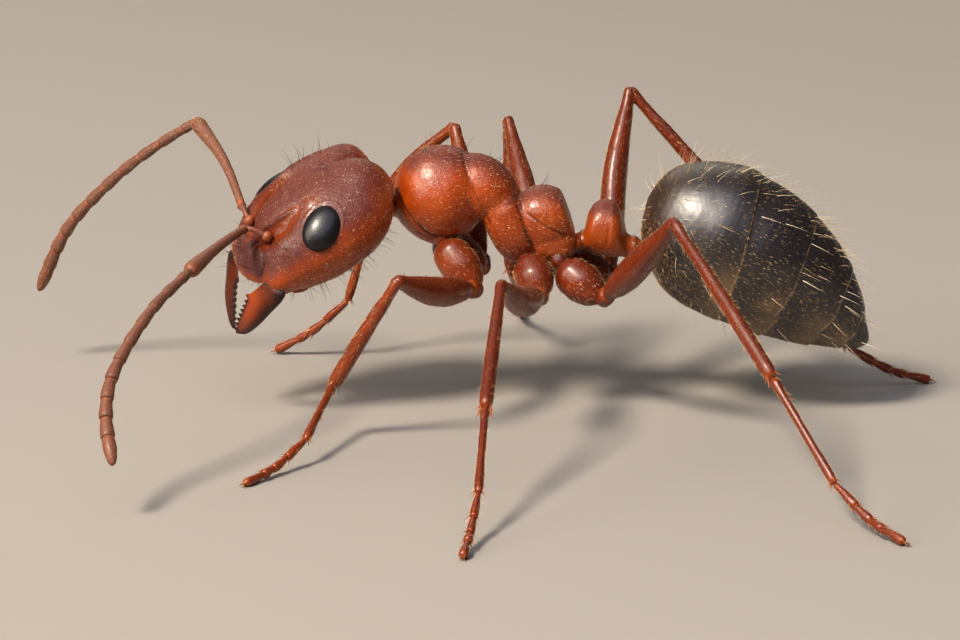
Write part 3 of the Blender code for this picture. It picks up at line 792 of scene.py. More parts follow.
turn = np.linspace(0, pi, THORAX_RINGS + 2)[1:-1]
length = SPINE[-1][0] - SPINE[0][0]
back = SPINE[0][0] + length * (1 - np.cos(turn)) / 2
up = curve_through(*np.array(SPINE).T, back)
middles = np.stack((back - LEAN * (up - LEAN_HEIGHT), np.zeros_like(up), up), -1)
rings = blown_out(middles, (0, 1, 0), (-LEAN, 0, 1), thorax_depth, 1.3, THORAX_SIDES)
keep = np.linalg.norm(rings - middles[:, None], axis=-1).min(1) > 0.02
rings, middles = rings[keep], middles[keep]
tips = np.array((rings[0].mean(0), rings[-1].mean(0)))
outwards = normals_of(rings)
half = both_sides(rings)
x, y, z = half[..., 0], half[..., 1], half[..., 2]
leaning = x + LEAN * (z - LEAN_HEIGHT)
first_seam = np.exp(-(((leaning + 0.955 - 0.02 * np.cos(z * 4)) / 0.016) ** 2)) * eased(2.9, 3.1, z)
second_seam = near_line(half, REAR_SEAM, 0.024)
flange = near_line(half * (1, 0, 1), FLANGE, 0.026) * eased(-0.15, -0.25, y)
lines = near_line(half, RIDGE, 0.026) + 0.8 * near_line(half, SIDE_SEAM, 0.026)
gland = spot(half, (0.36, 0, 2.60), (0.10, np.inf, 0.07)) * (y < -0.1)
breathing_hole = near_line(half, BREATHING_HOLE, 0.03)
raised = (
    -0.030 * first_seam - 0.035 * second_seam - 0.045 * flange - 0.022 * lines + 0.03 * gland
    - 0.02 * breathing_hole + 0.010 * dapple(rings, 0.45, 11) + 0.0025 * dapple(rings, 0.05, 12)
)
rings = rings + outwards * raised[..., None]
x, z = rings[..., 0], rings[..., 2]
rings[..., 1] *= 1 - 0.10 * eased(3.35, 4.1, z)
# Where the thorax faces up it is painted duskier, partly its own colour and partly a painted lilac sheen.
# Low on its rear part it is painted duskier, and off its top towards the rear darker, as painted shade.
top = eased(0.25, 0.85, outwards[..., 2] + 0.15 * dapple(rings, 0.35, 13))
thorax_paints = {
    "dusk": np.clip(0.85 * top + 0.25 * eased(3.1, 2.7, z) * (half[..., 0] > -1.0), 0, 1),
    "dark": np.clip(0.56 * first_seam + 0.56 * second_seam + 0.64 * flange + 0.28 * lines
                    + 0.22 * eased(-1.05, -0.6, half[..., 0]) * (1 - top), 0, 0.8),
    "amber": 0.35 * eased(-2.25, -2.4, x) + 0.25 * eased(-0.2, 0.05, x) * (1 - top),
    "coat": np.clip(1 - lines - flange, 0, 1) * eased(-2.35, -2.2, x),
    "setae": 1.6 * eased(0.5, 0.85, outwards[..., 2]) * eased(-2.1, -1.9, x),
}
replaced = ["neck", "pronotum", "mesothorax", "propodeum"]
parts = [(rings + body_place, tips + body_place, thorax_paints)]
thorax = finished("thorax_skin", parts, red_shell, replaced)


# ---- Waist: one rounded red scale on a short stalk that joins the thorax to the rear body, dusky on
# its crown, partly its own colour and partly a painted lilac sheen, painted darker off its crown and
# duskier underneath as painted shade, with a stout ring where it meets each neighbour.
PETIOLE = (
    (0.42, 0.00, 2.68, 2.68),
    (0.50, 0.16, 2.84, 2.56),
    (0.62, 0.20, 2.90, 2.58),
    (0.70, 0.34, 3.20, 2.57),
    (0.82, 0.42, 3.36, 2.52),
    (0.95, 0.43, 3.41, 2.47),
    (1.08, 0.43, 3.39, 2.45),
    (1.22, 0.38, 3.22, 2.46),
    (1.33, 0.24, 2.86, 2.44),
    (1.50, 0.18, 2.79, 2.42),
    (1.70, 0.00, 2.60, 2.60),
)
WAIST_RINGS, WAIST_SIDES = 150, 120
CREASE = ((1.06, -0.42, 3.10), (1.04, -0.43, 2.85), (0.98, -0.38, 2.62))  # down its left side
rings, tips = drawn_out(PETIOLE, WAIST_RINGS, WAIST_SIDES, COAT)
outwards = normals_of(rings)
collars = (spot(rings, (0.60, 0, 0), (0.03, np.inf, np.inf))
           + spot(rings, (1.46, 0, 0), (0.04, np.inf, np.inf)))
crease = near_line(both_sides(rings), CREASE, 0.03)
raised = (0.02 * collars - 0.016 * crease + 0.010 * dapple(rings, 0.3, 21)
          + 0.002 * dapple(rings, 0.05, 22))
rings = rings + outwards * raised[..., None]
x, z = rings[..., 0], rings[..., 2]
crown = eased(3.05, 3.30, z + 0.04 * dapple(rings, 0.2, 23))
# Dusky crown: partly its own colour, partly a painted sheen. Painted shade: darker off the crown and
# duskier underneath
waist_paints = {
    "dusk": np.clip(0.85 * crown + 0.3 * eased(2.6, 2.45, z), 0, 1),
    "dark": 0.55 * collars + 0.2 * (1 - crown),
    "amber": 0.2 * (1 - crown),
    "coat": eased(0.68, 0.8, x),
    "setae": eased(3.1, 3.3, z),
}
parts = [(rings + body_place, tips + body_place, waist_paints)]
waist = finished("waist_skin", parts, red_shell, ["petiole"])


# ---- Rear body: an egg of glossy black plates, each back plate slid under the one ahead of it like a
# telescope, with a thin honey-coloured hem, and paler plates underneath. Golden hairs stand on it.
GASTER = (
    (-0.16, 0.00, 0.66, 0.66),
    (0.00, 0.58, 1.26, 0.04),
    (0.30, 0.86, 1.52, -0.30),
    (0.70, 1.05, 1.70, -0.56),
    (1.15, 1.14, 1.79, -0.65),
    (1.65, 1.14, 1.75, -0.66),
    (2.15, 1.05, 1.63, -0.63),
    (2.65, 0.88, 1.43, -0.55),
    (3.15, 0.64, 1.10, -0.43),
    (3.55, 0.42, 0.72, -0.31),
    (3.85, 0.22, 0.30, -0.20),
    (4.00, 0.00, 0.00, 0.00),
)
GASTER_DROOP = 23.8
GASTER_RINGS, GASTER_SIDES = 300, 200
# Where each back plate ends: on the crown, half way down the side and at its lower edge
PLATE_ENDS = ((1.31, 1.54, 1.62), (2.40, 2.47, 2.36), (3.27, 3.28, 3.13), (3.72, 3.72, 3.62))
PLATE_STEP = 0.022  # how far a plate's hem stands over the next plate
FOLD_LEVEL = 0.24  # how far up the side the back plates reach down, as a share of the height
BLACK_CLOUD_SIZE = 0.4

# Black chitin: as the red, but nearly opaque, its grain shallower and its gloss broad and soft, and
# browner where a plate is thin
black_shell, tree, output = empty_material("black_chitin")
place = add(tree, "ShaderNodeTexCoord").outputs["Object"]
shell = shell_colour(tree, place, BLACK_CLOUD_SIZE, "#0e0b0c", "#221b1d",
                     {"dusk": "#2e1b0f", "amber": "#b99a68", "dark": "#050404"})
leather = add(tree, "ShaderNodeTexVoronoi", {"Vector": place, "Scale": 1 / (GRAIN * MM)})
bump = add(tree, "ShaderNodeBump", {"Height": leather.outputs["Distance"], "Strength": 0.25,
                                    "Distance": 0.004 * MM})
shader = add(tree, "ShaderNodeBsdfPrincipled", {
    "Base Color": shell, "Roughness": 0.44, "IOR": 1.7, "Normal": bump.outputs["Normal"],
    "Subsurface Weight": 0.1, "Subsurface Radius": (1.0, 0.5, 0.2), "Subsurface Scale": 0.1 * MM,
    "Coat Weight": 0.5, "Coat Roughness": 0.34,
})
tree.links.new(shader.outputs["BSDF"], output.inputs["Surface"])

gaster_axes = np.array(Euler((0, radians(GASTER_DROOP), 0)).to_matrix())
last_plate = cells_of("gaster_5")
tail = last_plate[(last_plate @ gaster_axes[:, 0]).argmax()]
gaster_place = tail - gaster_axes[:, 0] * GASTER[-1][0] + (-0.02, 0, 0.03)
rings, tips = drawn_out(GASTER, GASTER_RINGS, GASTER_SIDES, COAT / 2)
outwards = normals_of(rings)
back, up = rings[..., 0], rings[..., 2]
level = (up - up.min(1)[:, None]) / np.ptp(up, axis=1)[:, None]  # 0 at the belly, 1 on the crown
raised = 0.006 * dapple(rings, 0.6, 31) + 0.0015 * dapple(rings, 0.05, 32)
hem, brown, rows = np.zeros((3, *back.shape))
side_edge = FOLD_LEVEL + 0.03 * np.sin(back * 3)  # the back plates' lower edge, over the belly plates
over = eased(side_edge - 0.006, side_edge + 0.006, level)
for crown_end, side_end, low_end in PLATE_ENDS:
    ends = np.array((low_end, side_end, crown_end))
    end = curve_through(np.array((0.2, 0.5, 1.0)), ends, np.clip(level, 0.2, 1))
    belly_end = low_end + 0.10 - 0.5 * (FOLD_LEVEL - level)
    end = np.where(level > side_edge, end, belly_end)
    raised -= PLATE_STEP * eased(end - 0.008, end + 0.008, back) * eased(end + 0.9, end + 0.1, back)
    hem += np.exp(-(((back - end + 0.008) / 0.006) ** 2))
    brown += eased(end - 0.55, end - 0.05, back) * (back < end) * eased(0.62, 0.30, level)
    rows += np.exp(-(((back - end + 0.02) / 0.02) ** 2))
raised += 0.018 * over
fold = np.exp(-(((level - side_edge) / 0.006) ** 2))
rings = rings + outwards * raised[..., None]
gaster_paints = {
    "dusk": np.clip(0.15 + 0.85 * brown + 0.8 * eased(0.3, 0.1, level) + eased(0.35, 0.1, back), 0, 1),
    "dark": 0.8 * fold,
    "amber": np.clip(0.62 * hem + 0.22 * brown * eased(0.55, 0.35, level), 0, 1),
    "coat": (0.5 + 0.8 * eased(0.9, 0.3, back) * eased(0.7, 0.4, level)
             + (0.5 + 6.0 * rows) * eased(0.75, 0.45, level)),
    "setae": (0.12 + 1.2 * eased(0.8, 1.0, level) + 0.25 * eased(2.4, 3.5, back)
              + 0.8 * eased(0.7, 0.2, back)),
}
rings, tips = rings @ gaster_axes.T + gaster_place, tips @ gaster_axes.T + gaster_place
plates = ["gaster_%d" % number for number in range(1, 6)]
gaster = finished("gaster_skin", [(rings, tips, gaster_paints)], black_shell, plates)


# ---- Legs: six, each of a stout coxa, a small ring, a thick femur, a slim tibia with a spur at its end,
# and a foot of five short joints with two hooked claws. Red-brown, dusky on top (partly its own colour,
# partly a painted sheen), painted darker underneath as painted shade, amber at the joints, and bristling
# with small spines where one joint of the foot ends and the next begins.
LEG_FINISHES = {
    "fore": ("#722602", "#a24604", "#451a0c"),
    "mid": ("#681f03", "#923a04", "#42180c"),
    "hind": ("#641e03", "#923a03", "#40170c"),
}
# Along each part: how far, as a share of its length, and the radius there
COXA_RADII = ((0, 0.20), (0.2, 0.30), (0.5, 0.325), (0.8, 0.25), (1, 0.13))
RING_RADII = ((0, 0.09), (0.3, 0.145), (0.7, 0.155), (1, 0.11))
FEMUR_RADII = ((0, 0.09), (0.06, 0.13), (0.20, 0.205), (0.36, 0.240), (0.55, 0.225), (0.75, 0.170),
               (0.93, 0.115), (1, 0.11))
TIBIA_RADII = ((0, 0.07), (0.03, 0.100), (0.09, 0.088), (0.35, 0.106), (0.7, 0.122), (0.94, 0.120),
               (1, 0.08))
HEEL_RADII = ((0, 0.050), (0.06, 0.080), (0.16, 0.066), (0.6, 0.064), (0.9, 0.078), (1, 0.055))
TOE_RADII = ((0, 0.040), (0.25, 0.052), (0.8, 0.076), (0.95, 0.072), (1, 0.045))
TOE_SHARES = (0.32, 0.22, 0.16, 0.30)
COXA_LENGTH, RING_LENGTH = 0.78, 0.32
# The soft socket that joins each coxa to the thorax: which stretch it reaches into, and its size
SOCKETS = {"fore": "pronotum", "mid": "mesothorax", "hind": "propodeum"}
SOCKET_LENGTH, SOCKET_RADII = 0.42, ((0, 0.15), (0.5, 0.17), (1, 0.13))
# How far a coxa's hidden upper end is moved from the line through its solid: back, right and up
COXA_SHIFTS = {"fore_left": (-0.12, 0, 0.16), "fore_right": (-0.26, 0, 0.10),
               "hind_left": (-0.17, 0, -0.03), "hind_right": (-0.17, 0, -0.03)}
# How far the middle of a femur and of a tibia stands off the straight line between its joints, and how
# far a knee stands off the middle of the cut: back, right and up
FEMUR_BOWS = {"fore_left": (0, 0, -0.10), "mid_left": (0, 0, -0.17), "hind_left": (0, 0, -0.06),
              "hind_right": (-0.10, 0, 0)}
TIBIA_BOWS = {"fore_right": (-0.04, 0, 0.13)}
KNEE_SHIFTS = {"fore_right": (0, 0, 0.10), "mid_right": (-0.06, 0, 0.18), "hind_right": (-0.06, 0, 0.08)}
FOOT_SAG, TOE_CLEARANCE = 0.096, 0.06
TOE_SHORT = 0.22  # how far the last toe ends short of its solid, to leave room for the claws
FOOT_STEPS = 240  # places along the foot
TOE_OVERLAP = 6  # how many of them a toe joint reaches back into the one before
CLAW_LENGTH, SPUR_LENGTH, SPINE_LENGTH = 0.14, 0.24, 0.105
CLAW_RADIUS, SPUR_RADIUS, SPINE_RADIUS = 0.02, 0.021, 0.009

# Claw horn: hard amber-brown chitin worn smooth, so its gloss is sharp
claw_horn, tree, output = empty_material("claw_horn")
place = add(tree, "ShaderNodeTexCoord").outputs["Object"]
cloud = add(tree, "ShaderNodeTexNoise", {"Vector": place, "Scale": 1 / (0.05 * MM)})
shade = add(tree, "ShaderNodeMix", {0: cloud.outputs["Fac"], 6: linear("#6a3414"), 7: linear("#a8662e")},
            data_type="RGBA").outputs[2]
shader = add(tree, "ShaderNodeBsdfPrincipled", {"Base Color": shade, "Roughness": 0.3, "IOR": 1.56})
tree.links.new(shader.outputs["BSDF"], output.inputs["Surface"])


def bowed(start, end, count, lift=(0, 0, 0)):
    """Places from start to end along a shallow arch."""
    return smooth_path((start, (start + end) / 2 + lift, end), count)


def joint_of_leg(path, radii, dusk, amber_ends, setae, flat=0.9):
    """One closed joint: its skin, its tips and its paints, dusky on top (partly a painted sheen), painted
    darker underneath as painted shade, and amber near its ends.
    """
    radius = profile(radii, len(path))
    far = np.concatenate(([0], np.cumsum(np.linalg.norm(np.diff(path, axis=0), axis=1))))
    from_end = np.minimum(far, far[-1] - far) / (0.8 * radius) + 0.12
    radius = radius * np.sqrt(1 - (1 - np.minimum(from_end, 1)) ** 2)
    skin, ends = tube(path, radius, sides=24, flat=flat)
    along = np.linspace(0, 1, len(path))[:, None]
    glow = 0 * along
    if amber_ends[0]:
        glow = eased(amber_ends[0], 0, along)
    if amber_ends[1]:
        glow = np.maximum(glow, eased(1 - amber_ends[1], 1, along))
    facing = normals_of(skin)[..., 2] + 0.2 * dapple(skin, 0.25, 41)
    # Dusky where it faces up: partly its own colour, partly a painted sheen
    shade = dusk * eased(-0.5, 0.8, facing) * (1 - 0.3 * glow)
    skin = skin + normals_of(skin) * (0.004 * dapple(skin, 0.15, 42))[..., None]
    # Painted shade: each joint is painted darker where it faces down
    under = 0.35 * eased(0.1, -0.8, facing)
    clear = eased(0.04, 0.14, skin[..., 2])  # no hair between the toes and the floor
    return skin, ends, {"dusk": shade, "dark": 0.05 + under, "amber": 0.18 * glow, "coat": clear,
                        "setae": setae * clear, "shine": 0.12}


def spike(start, ahead, droop, length, radius, count=8, sides=8):
    """A curved spike: a tube that thins to a point and bends the way of its droop."""
    t = np.linspace(0, 1, count)[:, None]
    path = start + ahead * length * t + np.array(droop) * length * t * t
    bare = {"dusk": 0.0, "dark": 0.0, "amber": 0.55, "coat": 0.0, "setae": 0.0, "shine": 0.0}
    return (*tube(path, radius * np.linspace(1, 0.12, count), sides), bare)


def spines_round(path, radius, seed):
    """A crown of small spines round the end of a joint, leaning on past it."""
    random = np.random.default_rng(seed)
    ahead = unit(path[-1] - path[-4])
    across = unit(np.cross(ahead, (0, 0, 1)))
    made = []
    for turn in random.uniform(0, 0.5) + np.arange(8) * pi / 4:
        out = across * cos(turn) + np.cross(across, ahead) * sin(turn)
        lean = unit(ahead + 0.75 * out)
        root = path[-2] + out * radius * 0.8
        length = SPINE_LENGTH * random.uniform(0.7, 1.2)
        if (root + lean * length)[2] > 0.01:
            made.append(spike(root, lean, (0, 0, 0), length, SPINE_RADIUS, 4, 5))
    return made


legs = {}
for pair in ("fore", "mid", "hind"):
    leg_shell = chitin("leg_chitin_" + pair, *LEG_FINISHES[pair], roughness=0.36, grain=0.24,
                       glow=0.05, coat=0.45)
    for side in ("left", "right"):
        leg = pair + "_" + side
        hip, knee, ankle, heel = (
            meeting(first + leg, second + leg)
            for first, second in (("coxa_", "femur_"), ("femur_", "tibia_"),
                                  ("tibia_", "basitarsus_"), ("basitarsus_", "foot_"))
        )
        knee = knee + KNEE_SHIFTS.get(leg, (0, 0, 0))
        corners = cells_of("foot_" + leg)
        away = np.linalg.norm(corners - heel, axis=-1)
        toe = corners[away > away.max() - 0.02].mean(0)
        toe = heel + (toe - heel) * (1 - TOE_SHORT / np.linalg.norm(toe - heel))
        toe[2] = TOE_CLEARANCE
        out = unit(middle_of("coxa_" + leg) - hip)
        ahead, down = unit(knee - hip), unit(ankle - knee)
        inner = hip + out * COXA_LENGTH + COXA_SHIFTS.get(leg, (0, 0, 0))
        coxa = bowed(inner, hip, 40)
        inward = unit(middle_of(SOCKETS[pair]) - inner)
        socket = bowed(inner - inward * 0.05, inner + inward * SOCKET_LENGTH, 16)
        ring = bowed(hip - ahead * 0.06, hip + ahead * RING_LENGTH, 24)
        femur = bowed(hip + ahead * 0.16, knee + ahead * 0.05, 90, FEMUR_BOWS.get(leg, (0, 0, 0)))
        tibia = bowed(knee - down * 0.05, ankle, 90, TIBIA_BOWS.get(leg, (0, 0, 0.024)))
        instep = bowed(ankle, heel, 44)
        parts = [
            joint_of_leg(coxa, COXA_RADII, 0.5, (0, 0.15), 0.3, flat=0.95),
            joint_of_leg(socket, SOCKET_RADII, 0.9, (0, 0), 0.0),
            joint_of_leg(ring, RING_RADII, 0.3, (0.5, 0.3), 0.2),
            joint_of_leg(femur, FEMUR_RADII, 0.5, (0.07, 0), 0.6, flat=0.86),
            joint_of_leg(tibia, TIBIA_RADII, 0.6, (0, 0.05), 1.6),
            joint_of_leg(instep, HEEL_RADII, 0.45, (0.08, 0.1), 2.6),
            *spines_round(tibia, 0.11, 61),
            *spines_round(instep, 0.07, 62),
        ]
        foot = smooth_path((heel, (heel + toe) / 2 - (0, 0, FOOT_SAG), toe), FOOT_STEPS)
        foot[:, 2] = np.maximum(foot[:, 2], TOE_CLEARANCE)
        ends = (np.cumsum((0,) + TOE_SHARES) * (FOOT_STEPS - 1)).astype(int)
        for number, (start, end) in enumerate(zip(ends[:-1], ends[1:])):
            piece = foot[max(start - TOE_OVERLAP, 0) : end + TOE_OVERLAP - 1]
            path = smooth_path((piece[0], piece[len(piece) // 2], piece[-1]), 20)
            parts.append(joint_of_leg(path, TOE_RADII, 0.25, (0.3, 0.2), 2.6))
            if number < 3:
                parts += spines_round(path, 0.065, 63 + number)
        across = unit(np.cross(down, (0, 0, 1)))
        for turn in (-1, 1) if pair != "fore" else (1,):
            root = ankle - down * 0.05 + across * 0.06 * turn
            lean = unit(down + across * 0.35 * turn - np.array((0, 0, 0.25)))
            parts.append(spike(root, lean, (0, 0, 0), SPUR_LENGTH, SPUR_RADIUS))
        nodes = [name + leg for name in ("coxa_", "femur_", "tibia_", "basitarsus_", "foot_")]
        legs[leg] = finished("leg_" + leg, parts, leg_shell, nodes)
        ahead = unit(foot[-1] - foot[-12]) * (1, 1, 0.3)
        across = unit(np.cross(ahead, (0, 0, 1)))
        claws = []
        for turn in (-1, 1):
            lean = unit(ahead + across * 0.55 * turn + np.array((0, 0, 0.25)))
            droop = -across * turn * 0.25 - np.array((0, 0, 0.42))
            claws.append(spike(toe - ahead * 0.02, lean, droop, CLAW_LENGTH, CLAW_RADIUS))
        finished("claws_" + leg, claws, claw_horn)


# ---- Hairs: short fine golden ones that lie back over the whole shell, and long bristles that stand
# up where the ant feels its way. Each is a thin three-sided spike, bent a little the way it lies.
def hair_tree():
    """Grows hairs on a skin: scattered by its paint, leaning along its lie, made real at the end."""
    tree = bpy.data.node_groups.new("hairs", "GeometryNodeTree")
    tree.interface.new_socket("Skin", in_out="INPUT", socket_type="NodeSocketGeometry")
    for name, kind in (("Number per mm2", "Float"), ("Length", "Float"), ("Radius", "Float"),
                       ("Lean", "Float"), ("Bend", "Float"), ("Mess", "Float"), ("Seed", "Int"),
                       ("Paint", "String"), ("Finish", "Material")):
        tree.interface.new_socket(name, in_out="INPUT", socket_type="NodeSocket" + kind)
    tree.interface.new_socket("Hairs", in_out="OUTPUT", socket_type="NodeSocketGeometry")
    given = add(tree, "NodeGroupInput").outputs
    amount = add(tree, "GeometryNodeInputNamedAttribute", {"Name": given["Paint"]}, data_type="FLOAT")
    per_metre = add(tree, "ShaderNodeMath", {0: given["Number per mm2"], 1: 1 / MM**2},
                    operation="MULTIPLY")
    density = add(tree, "ShaderNodeMath", {0: per_metre.outputs[0], 1: amount.outputs[0]},
                  operation="MULTIPLY")
    roots = add(tree, "GeometryNodeDistributePointsOnFaces",
                {"Mesh": given["Skin"], "Density": density.outputs[0], "Seed": given["Seed"]})
    map_place = add(tree, "GeometryNodeInputNamedAttribute", {"Name": "OFBake"},
                    data_type="FLOAT_VECTOR")
    rooted = add(tree, "GeometryNodeStoreNamedAttribute",
                 {"Geometry": roots.outputs["Points"], "Name": "root", "Value": map_place.outputs[0]},
                 data_type="FLOAT_VECTOR", domain="POINT")
    tone = add(tree, "FunctionNodeRandomValue", {"Seed": given["Seed"]}, data_type="FLOAT")
    toned = add(tree, "GeometryNodeStoreNamedAttribute",
                {"Geometry": rooted.outputs[0], "Name": "tone", "Value": tone.outputs[1]},
                data_type="FLOAT", domain="POINT")
    for name in ("OFBake", "dusk", "dark", "amber", "coat", "setae", "shine", "silver"):
        toned = add(tree, "GeometryNodeRemoveAttribute", {"Geometry": toned.outputs[0], "Name": name})
    lie = add(tree, "GeometryNodeInputNamedAttribute", {"Name": "lie"}, data_type="FLOAT_VECTOR")
    astray = add(tree, "FunctionNodeRandomValue", {0: (-1, -1, -1), 1: (1, 1, 1), "Seed": given["Seed"]},
                 data_type="FLOAT_VECTOR")
    upright = add(tree, "ShaderNodeMath", {0: given["Lean"]}, operation="COSINE")
    flat = add(tree, "ShaderNodeMath", {0: given["Lean"]}, operation="SINE")
    ways = []
    for way, share in ((roots.outputs["Normal"], upright), (lie.outputs[0], flat)):
        ways.append(add(tree, "ShaderNodeVectorMath", {0: way, "Scale": share.outputs[0]},
                        operation="SCALE").outputs[0])
    ways.append(add(tree, "ShaderNodeVectorMath", {0: astray.outputs[0], "Scale": given["Mess"]},
                    operation="SCALE").outputs[0])
    heading = add(tree, "ShaderNodeVectorMath", {0: ways[0], 1: ways[1]}, operation="ADD")
    heading = add(tree, "ShaderNodeVectorMath", {0: heading.outputs[0], 1: ways[2]}, operation="ADD")
    turned = add(tree, "FunctionNodeAlignRotationToVector", {"Vector": heading.outputs[0]}, axis="Z")
    turned = add(tree, "FunctionNodeAlignRotationToVector",
                 {"Rotation": turned.outputs[0], "Vector": lie.outputs[0]}, axis="X", pivot_axis="Z")
    hair = add(tree, "GeometryNodeMeshCone",
               {"Vertices": 3, "Side Segments": 3, "Radius Bottom": given["Radius"],
                "Depth": given["Length"]}, fill_type="NGON")
    own = add(tree, "GeometryNodeStoreNamedAttribute",
              {"Geometry": hair.outputs["Mesh"], "Name": "own", "Value": hair.outputs["UV Map"]},
              data_type="FLOAT_VECTOR", domain="CORNER")
    where = add(tree, "GeometryNodeInputPosition")
    height = add(tree, "ShaderNodeSeparateXYZ", {0: where.outputs[0]})
    squared = add(tree, "ShaderNodeMath", {0: height.outputs["Z"], 1: height.outputs["Z"]},
                  operation="MULTIPLY")
    eased_out = add(tree, "ShaderNodeMath", {0: squared.outputs[0], 1: given["Length"]},
                    operation="DIVIDE")
    sideways = add(tree, "ShaderNodeMath", {0: eased_out.outputs[0], 1: given["Bend"]},
                   operation="MULTIPLY")
    shift = add(tree, "ShaderNodeCombineXYZ", {"X": sideways.outputs[0]})
    bent = add(tree, "GeometryNodeSetPosition", {"Geometry": own.outputs[0], "Offset": shift.outputs[0]})
    size = add(tree, "FunctionNodeRandomValue", {2: 0.6, 3: 1.15, "Seed": given["Seed"]},
               data_type="FLOAT")
    grown = add(tree, "GeometryNodeInstanceOnPoints",
                {"Points": toned.outputs[0], "Instance": bent.outputs[0],
                 "Rotation": turned.outputs[0], "Scale": size.outputs[1]})
    real = add(tree, "GeometryNodeRealizeInstances", {0: grown.outputs[0]})
    root = add(tree, "GeometryNodeInputNamedAttribute", {"Name": "root"}, data_type="FLOAT_VECTOR")
    patch = add(tree, "GeometryNodeInputNamedAttribute", {"Name": "own"}, data_type="FLOAT_VECTOR")
    patch = add(tree, "ShaderNodeVectorMath", {0: patch.outputs[0], "Scale": 0.003}, operation="SCALE")
    place = add(tree, "ShaderNodeVectorMath", {0: root.outputs[0], 1: patch.outputs[0]}, operation="ADD")
    mapped = add(tree, "GeometryNodeStoreNamedAttribute",
                 {"Geometry": real.outputs[0], "Name": "OFBake", "Value": place.outputs[0]},
                 data_type="FLOAT2", domain="CORNER")
    for name in ("own", "root", "lie"):
        mapped = add(tree, "GeometryNodeRemoveAttribute", {"Geometry": mapped.outputs[0], "Name": name})
    done = add(tree, "GeometryNodeSetMaterial",
               {"Geometry": mapped.outputs[0], "Material": given["Finish"]})
    tree.links.new(done.outputs[0], add(tree, "NodeGroupOutput").inputs[0])
    return tree


def hair_finish(name, dim, bright, glow):
    """Hair: a thin clear keratin rod, each a little lighter or darker than the next."""
    made, tree, output = empty_material(name)
    tone = add(tree, "ShaderNodeAttribute", attribute_name="tone").outputs["Fac"]
    colour = add(tree, "ShaderNodeMix", {0: tone, 6: linear(dim), 7: linear(bright)},
                 data_type="RGBA").outputs[2]
    shader = add(tree, "ShaderNodeBsdfPrincipled", {
        "Base Color": colour, "Roughness": 0.3, "IOR": 1.55,
        "Subsurface Weight": glow, "Subsurface Radius": (1.0, 0.8, 0.5), "Subsurface Scale": 0.02 * MM,
    })
    tree.links.new(shader.outputs["BSDF"], output.inputs["Surface"])
    return made


golden_hair = hair_finish("golden_hair", "#a8703c", "#eccb90", 0.2)
amber_hair = hair_finish("amber_hair", "#8a4a1c", "#dc9c58", 0.2)
pale_hair = hair_finish("pale_hair", "#e6bc78", "#fff0cc", 0.3)
dark_hair = hair_finish("dark_hair", "#1d120d", "#4a3020", 0.1)
hairs = hair_tree()
sockets = {item.name: item.identifier for item in hairs.interface.items_tree if item.in_out == "INPUT"}


def grow(name, skin, finish, paint, number, length, radius, lean, bend, mess, slot, seed):
    """A coat of hairs on a skin, as one plain mesh. Lengths are in millimetres, leans in degrees."""
    grower = bpy.data.objects.new("grower", skin.data)
    bpy.context.scene.collection.objects.link(grower)
    modifier = grower.modifiers.new("hairs", "NODES")
    modifier.node_group = hairs
    for key, value in (("Number per mm2", number), ("Length", length * MM), ("Radius", radius * MM),
                       ("Lean", radians(lean)), ("Bend", bend), ("Mess", mess), ("Seed", seed),
                       ("Paint", paint), ("Finish", finish)):
        modifier[sockets[key]] = value
    evaluated = grower.evaluated_get(bpy.context.evaluated_depsgraph_get())
    mesh = bpy.data.meshes.new_from_object(evaluated)
    bpy.data.objects.remove(grower)
    mesh.name = name
    made = bpy.data.objects.new(name, mesh)
    bpy.context.scene.collection.objects.link(made)
    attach(made, "root")


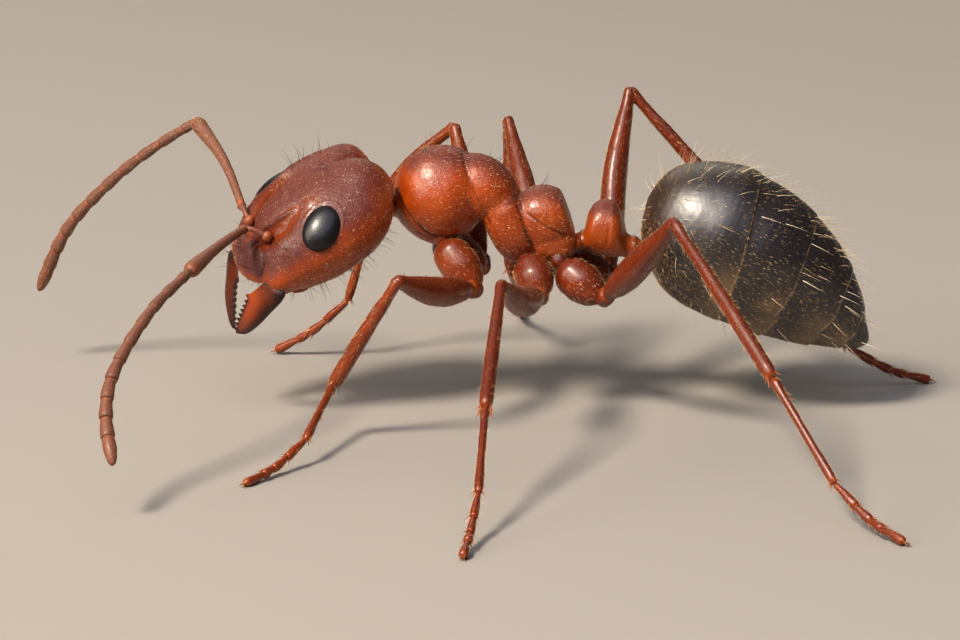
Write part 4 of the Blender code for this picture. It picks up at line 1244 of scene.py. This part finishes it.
# Each coat: the skin it grows on, its finish, the paint that says where, hairs to the square
# millimetre, length, radius, lean from upright, bend, untidiness and slot. The four after the table
# grow on every leg, feeler or jaw.
COATS = {
    "head_down": (head, amber_hair, "coat", 620, 0.032, 0.0016, 64, 0.12, 0.14, "head_shell"),
    "head_glints": (head, pale_hair, "coat", 220, 0.036, 0.0022, 66, 0.08, 0.12, "head_shell"),
    "head_silver": (head, pale_hair, "silver", 900, 0.030, 0.0022, 60, 0.08, 0.12, "head_shell"),
    "head_bristles": (head, dark_hair, "setae", 13, 0.32, 0.0046, 22, -0.22, 0.35, "head_shell"),
    "thorax_down": (thorax, amber_hair, "coat", 560, 0.034, 0.0016, 62, 0.15, 0.18, "thorax_shell"),
    "thorax_glints": (thorax, pale_hair, "coat", 170, 0.040, 0.0022, 66, 0.10, 0.18, "thorax_shell"),
    "thorax_bristles": (thorax, dark_hair, "setae", 5, 0.30, 0.0050, 25, -0.20, 0.35, "thorax_shell"),
    "waist_down": (waist, amber_hair, "coat", 560, 0.034, 0.0017, 60, 0.15, 0.18, "thorax_shell"),
    "waist_bristles": (waist, pale_hair, "setae", 16, 0.20, 0.0045, 25, 0.1, 0.35, "thorax_shell"),
    "gaster_down": (gaster, golden_hair, "coat", 300, 0.060, 0.0020, 66, 0.20, 0.25, "gaster_shell"),
    "gaster_bristles": (gaster, pale_hair, "setae", 20, 0.40, 0.0046, 32, 0.22, 0.30, "gaster_shell"),
}
LEG_DOWN = (golden_hair, "coat", 260, 0.060, 0.0024, 54, 0.15, 0.20, "leg")
LEG_BRISTLES = (amber_hair, "setae", 26, 0.12, 0.0042, 42, 0.1, 0.25, "leg")
FEELER_DOWN = (golden_hair, "coat", 800, 0.035, 0.0018, 52, 0.2, 0.30, "feeler")
JAW_HAIRS = (golden_hair, "coat", 40, 0.09, 0.0028, 50, 0.2, 0.40, "mandible")
for seed, (name, coat) in enumerate(COATS.items()):
    grow(name, *coat, seed + 1)
for seed, (leg, skin) in enumerate(legs.items()):
    grow("leg_down_" + leg, skin, *LEG_DOWN, seed + 20)
    grow("leg_bristles_" + leg, skin, *LEG_BRISTLES, seed + 30)
for seed, (side, skin) in enumerate(feelers.items()):
    grow("feeler_down_" + side, skin, *FEELER_DOWN, seed + 40)
for seed, (side, skin) in enumerate(jaws.items()):
    grow("jaw_hairs_" + side, skin, *JAW_HAIRS, seed + 50)
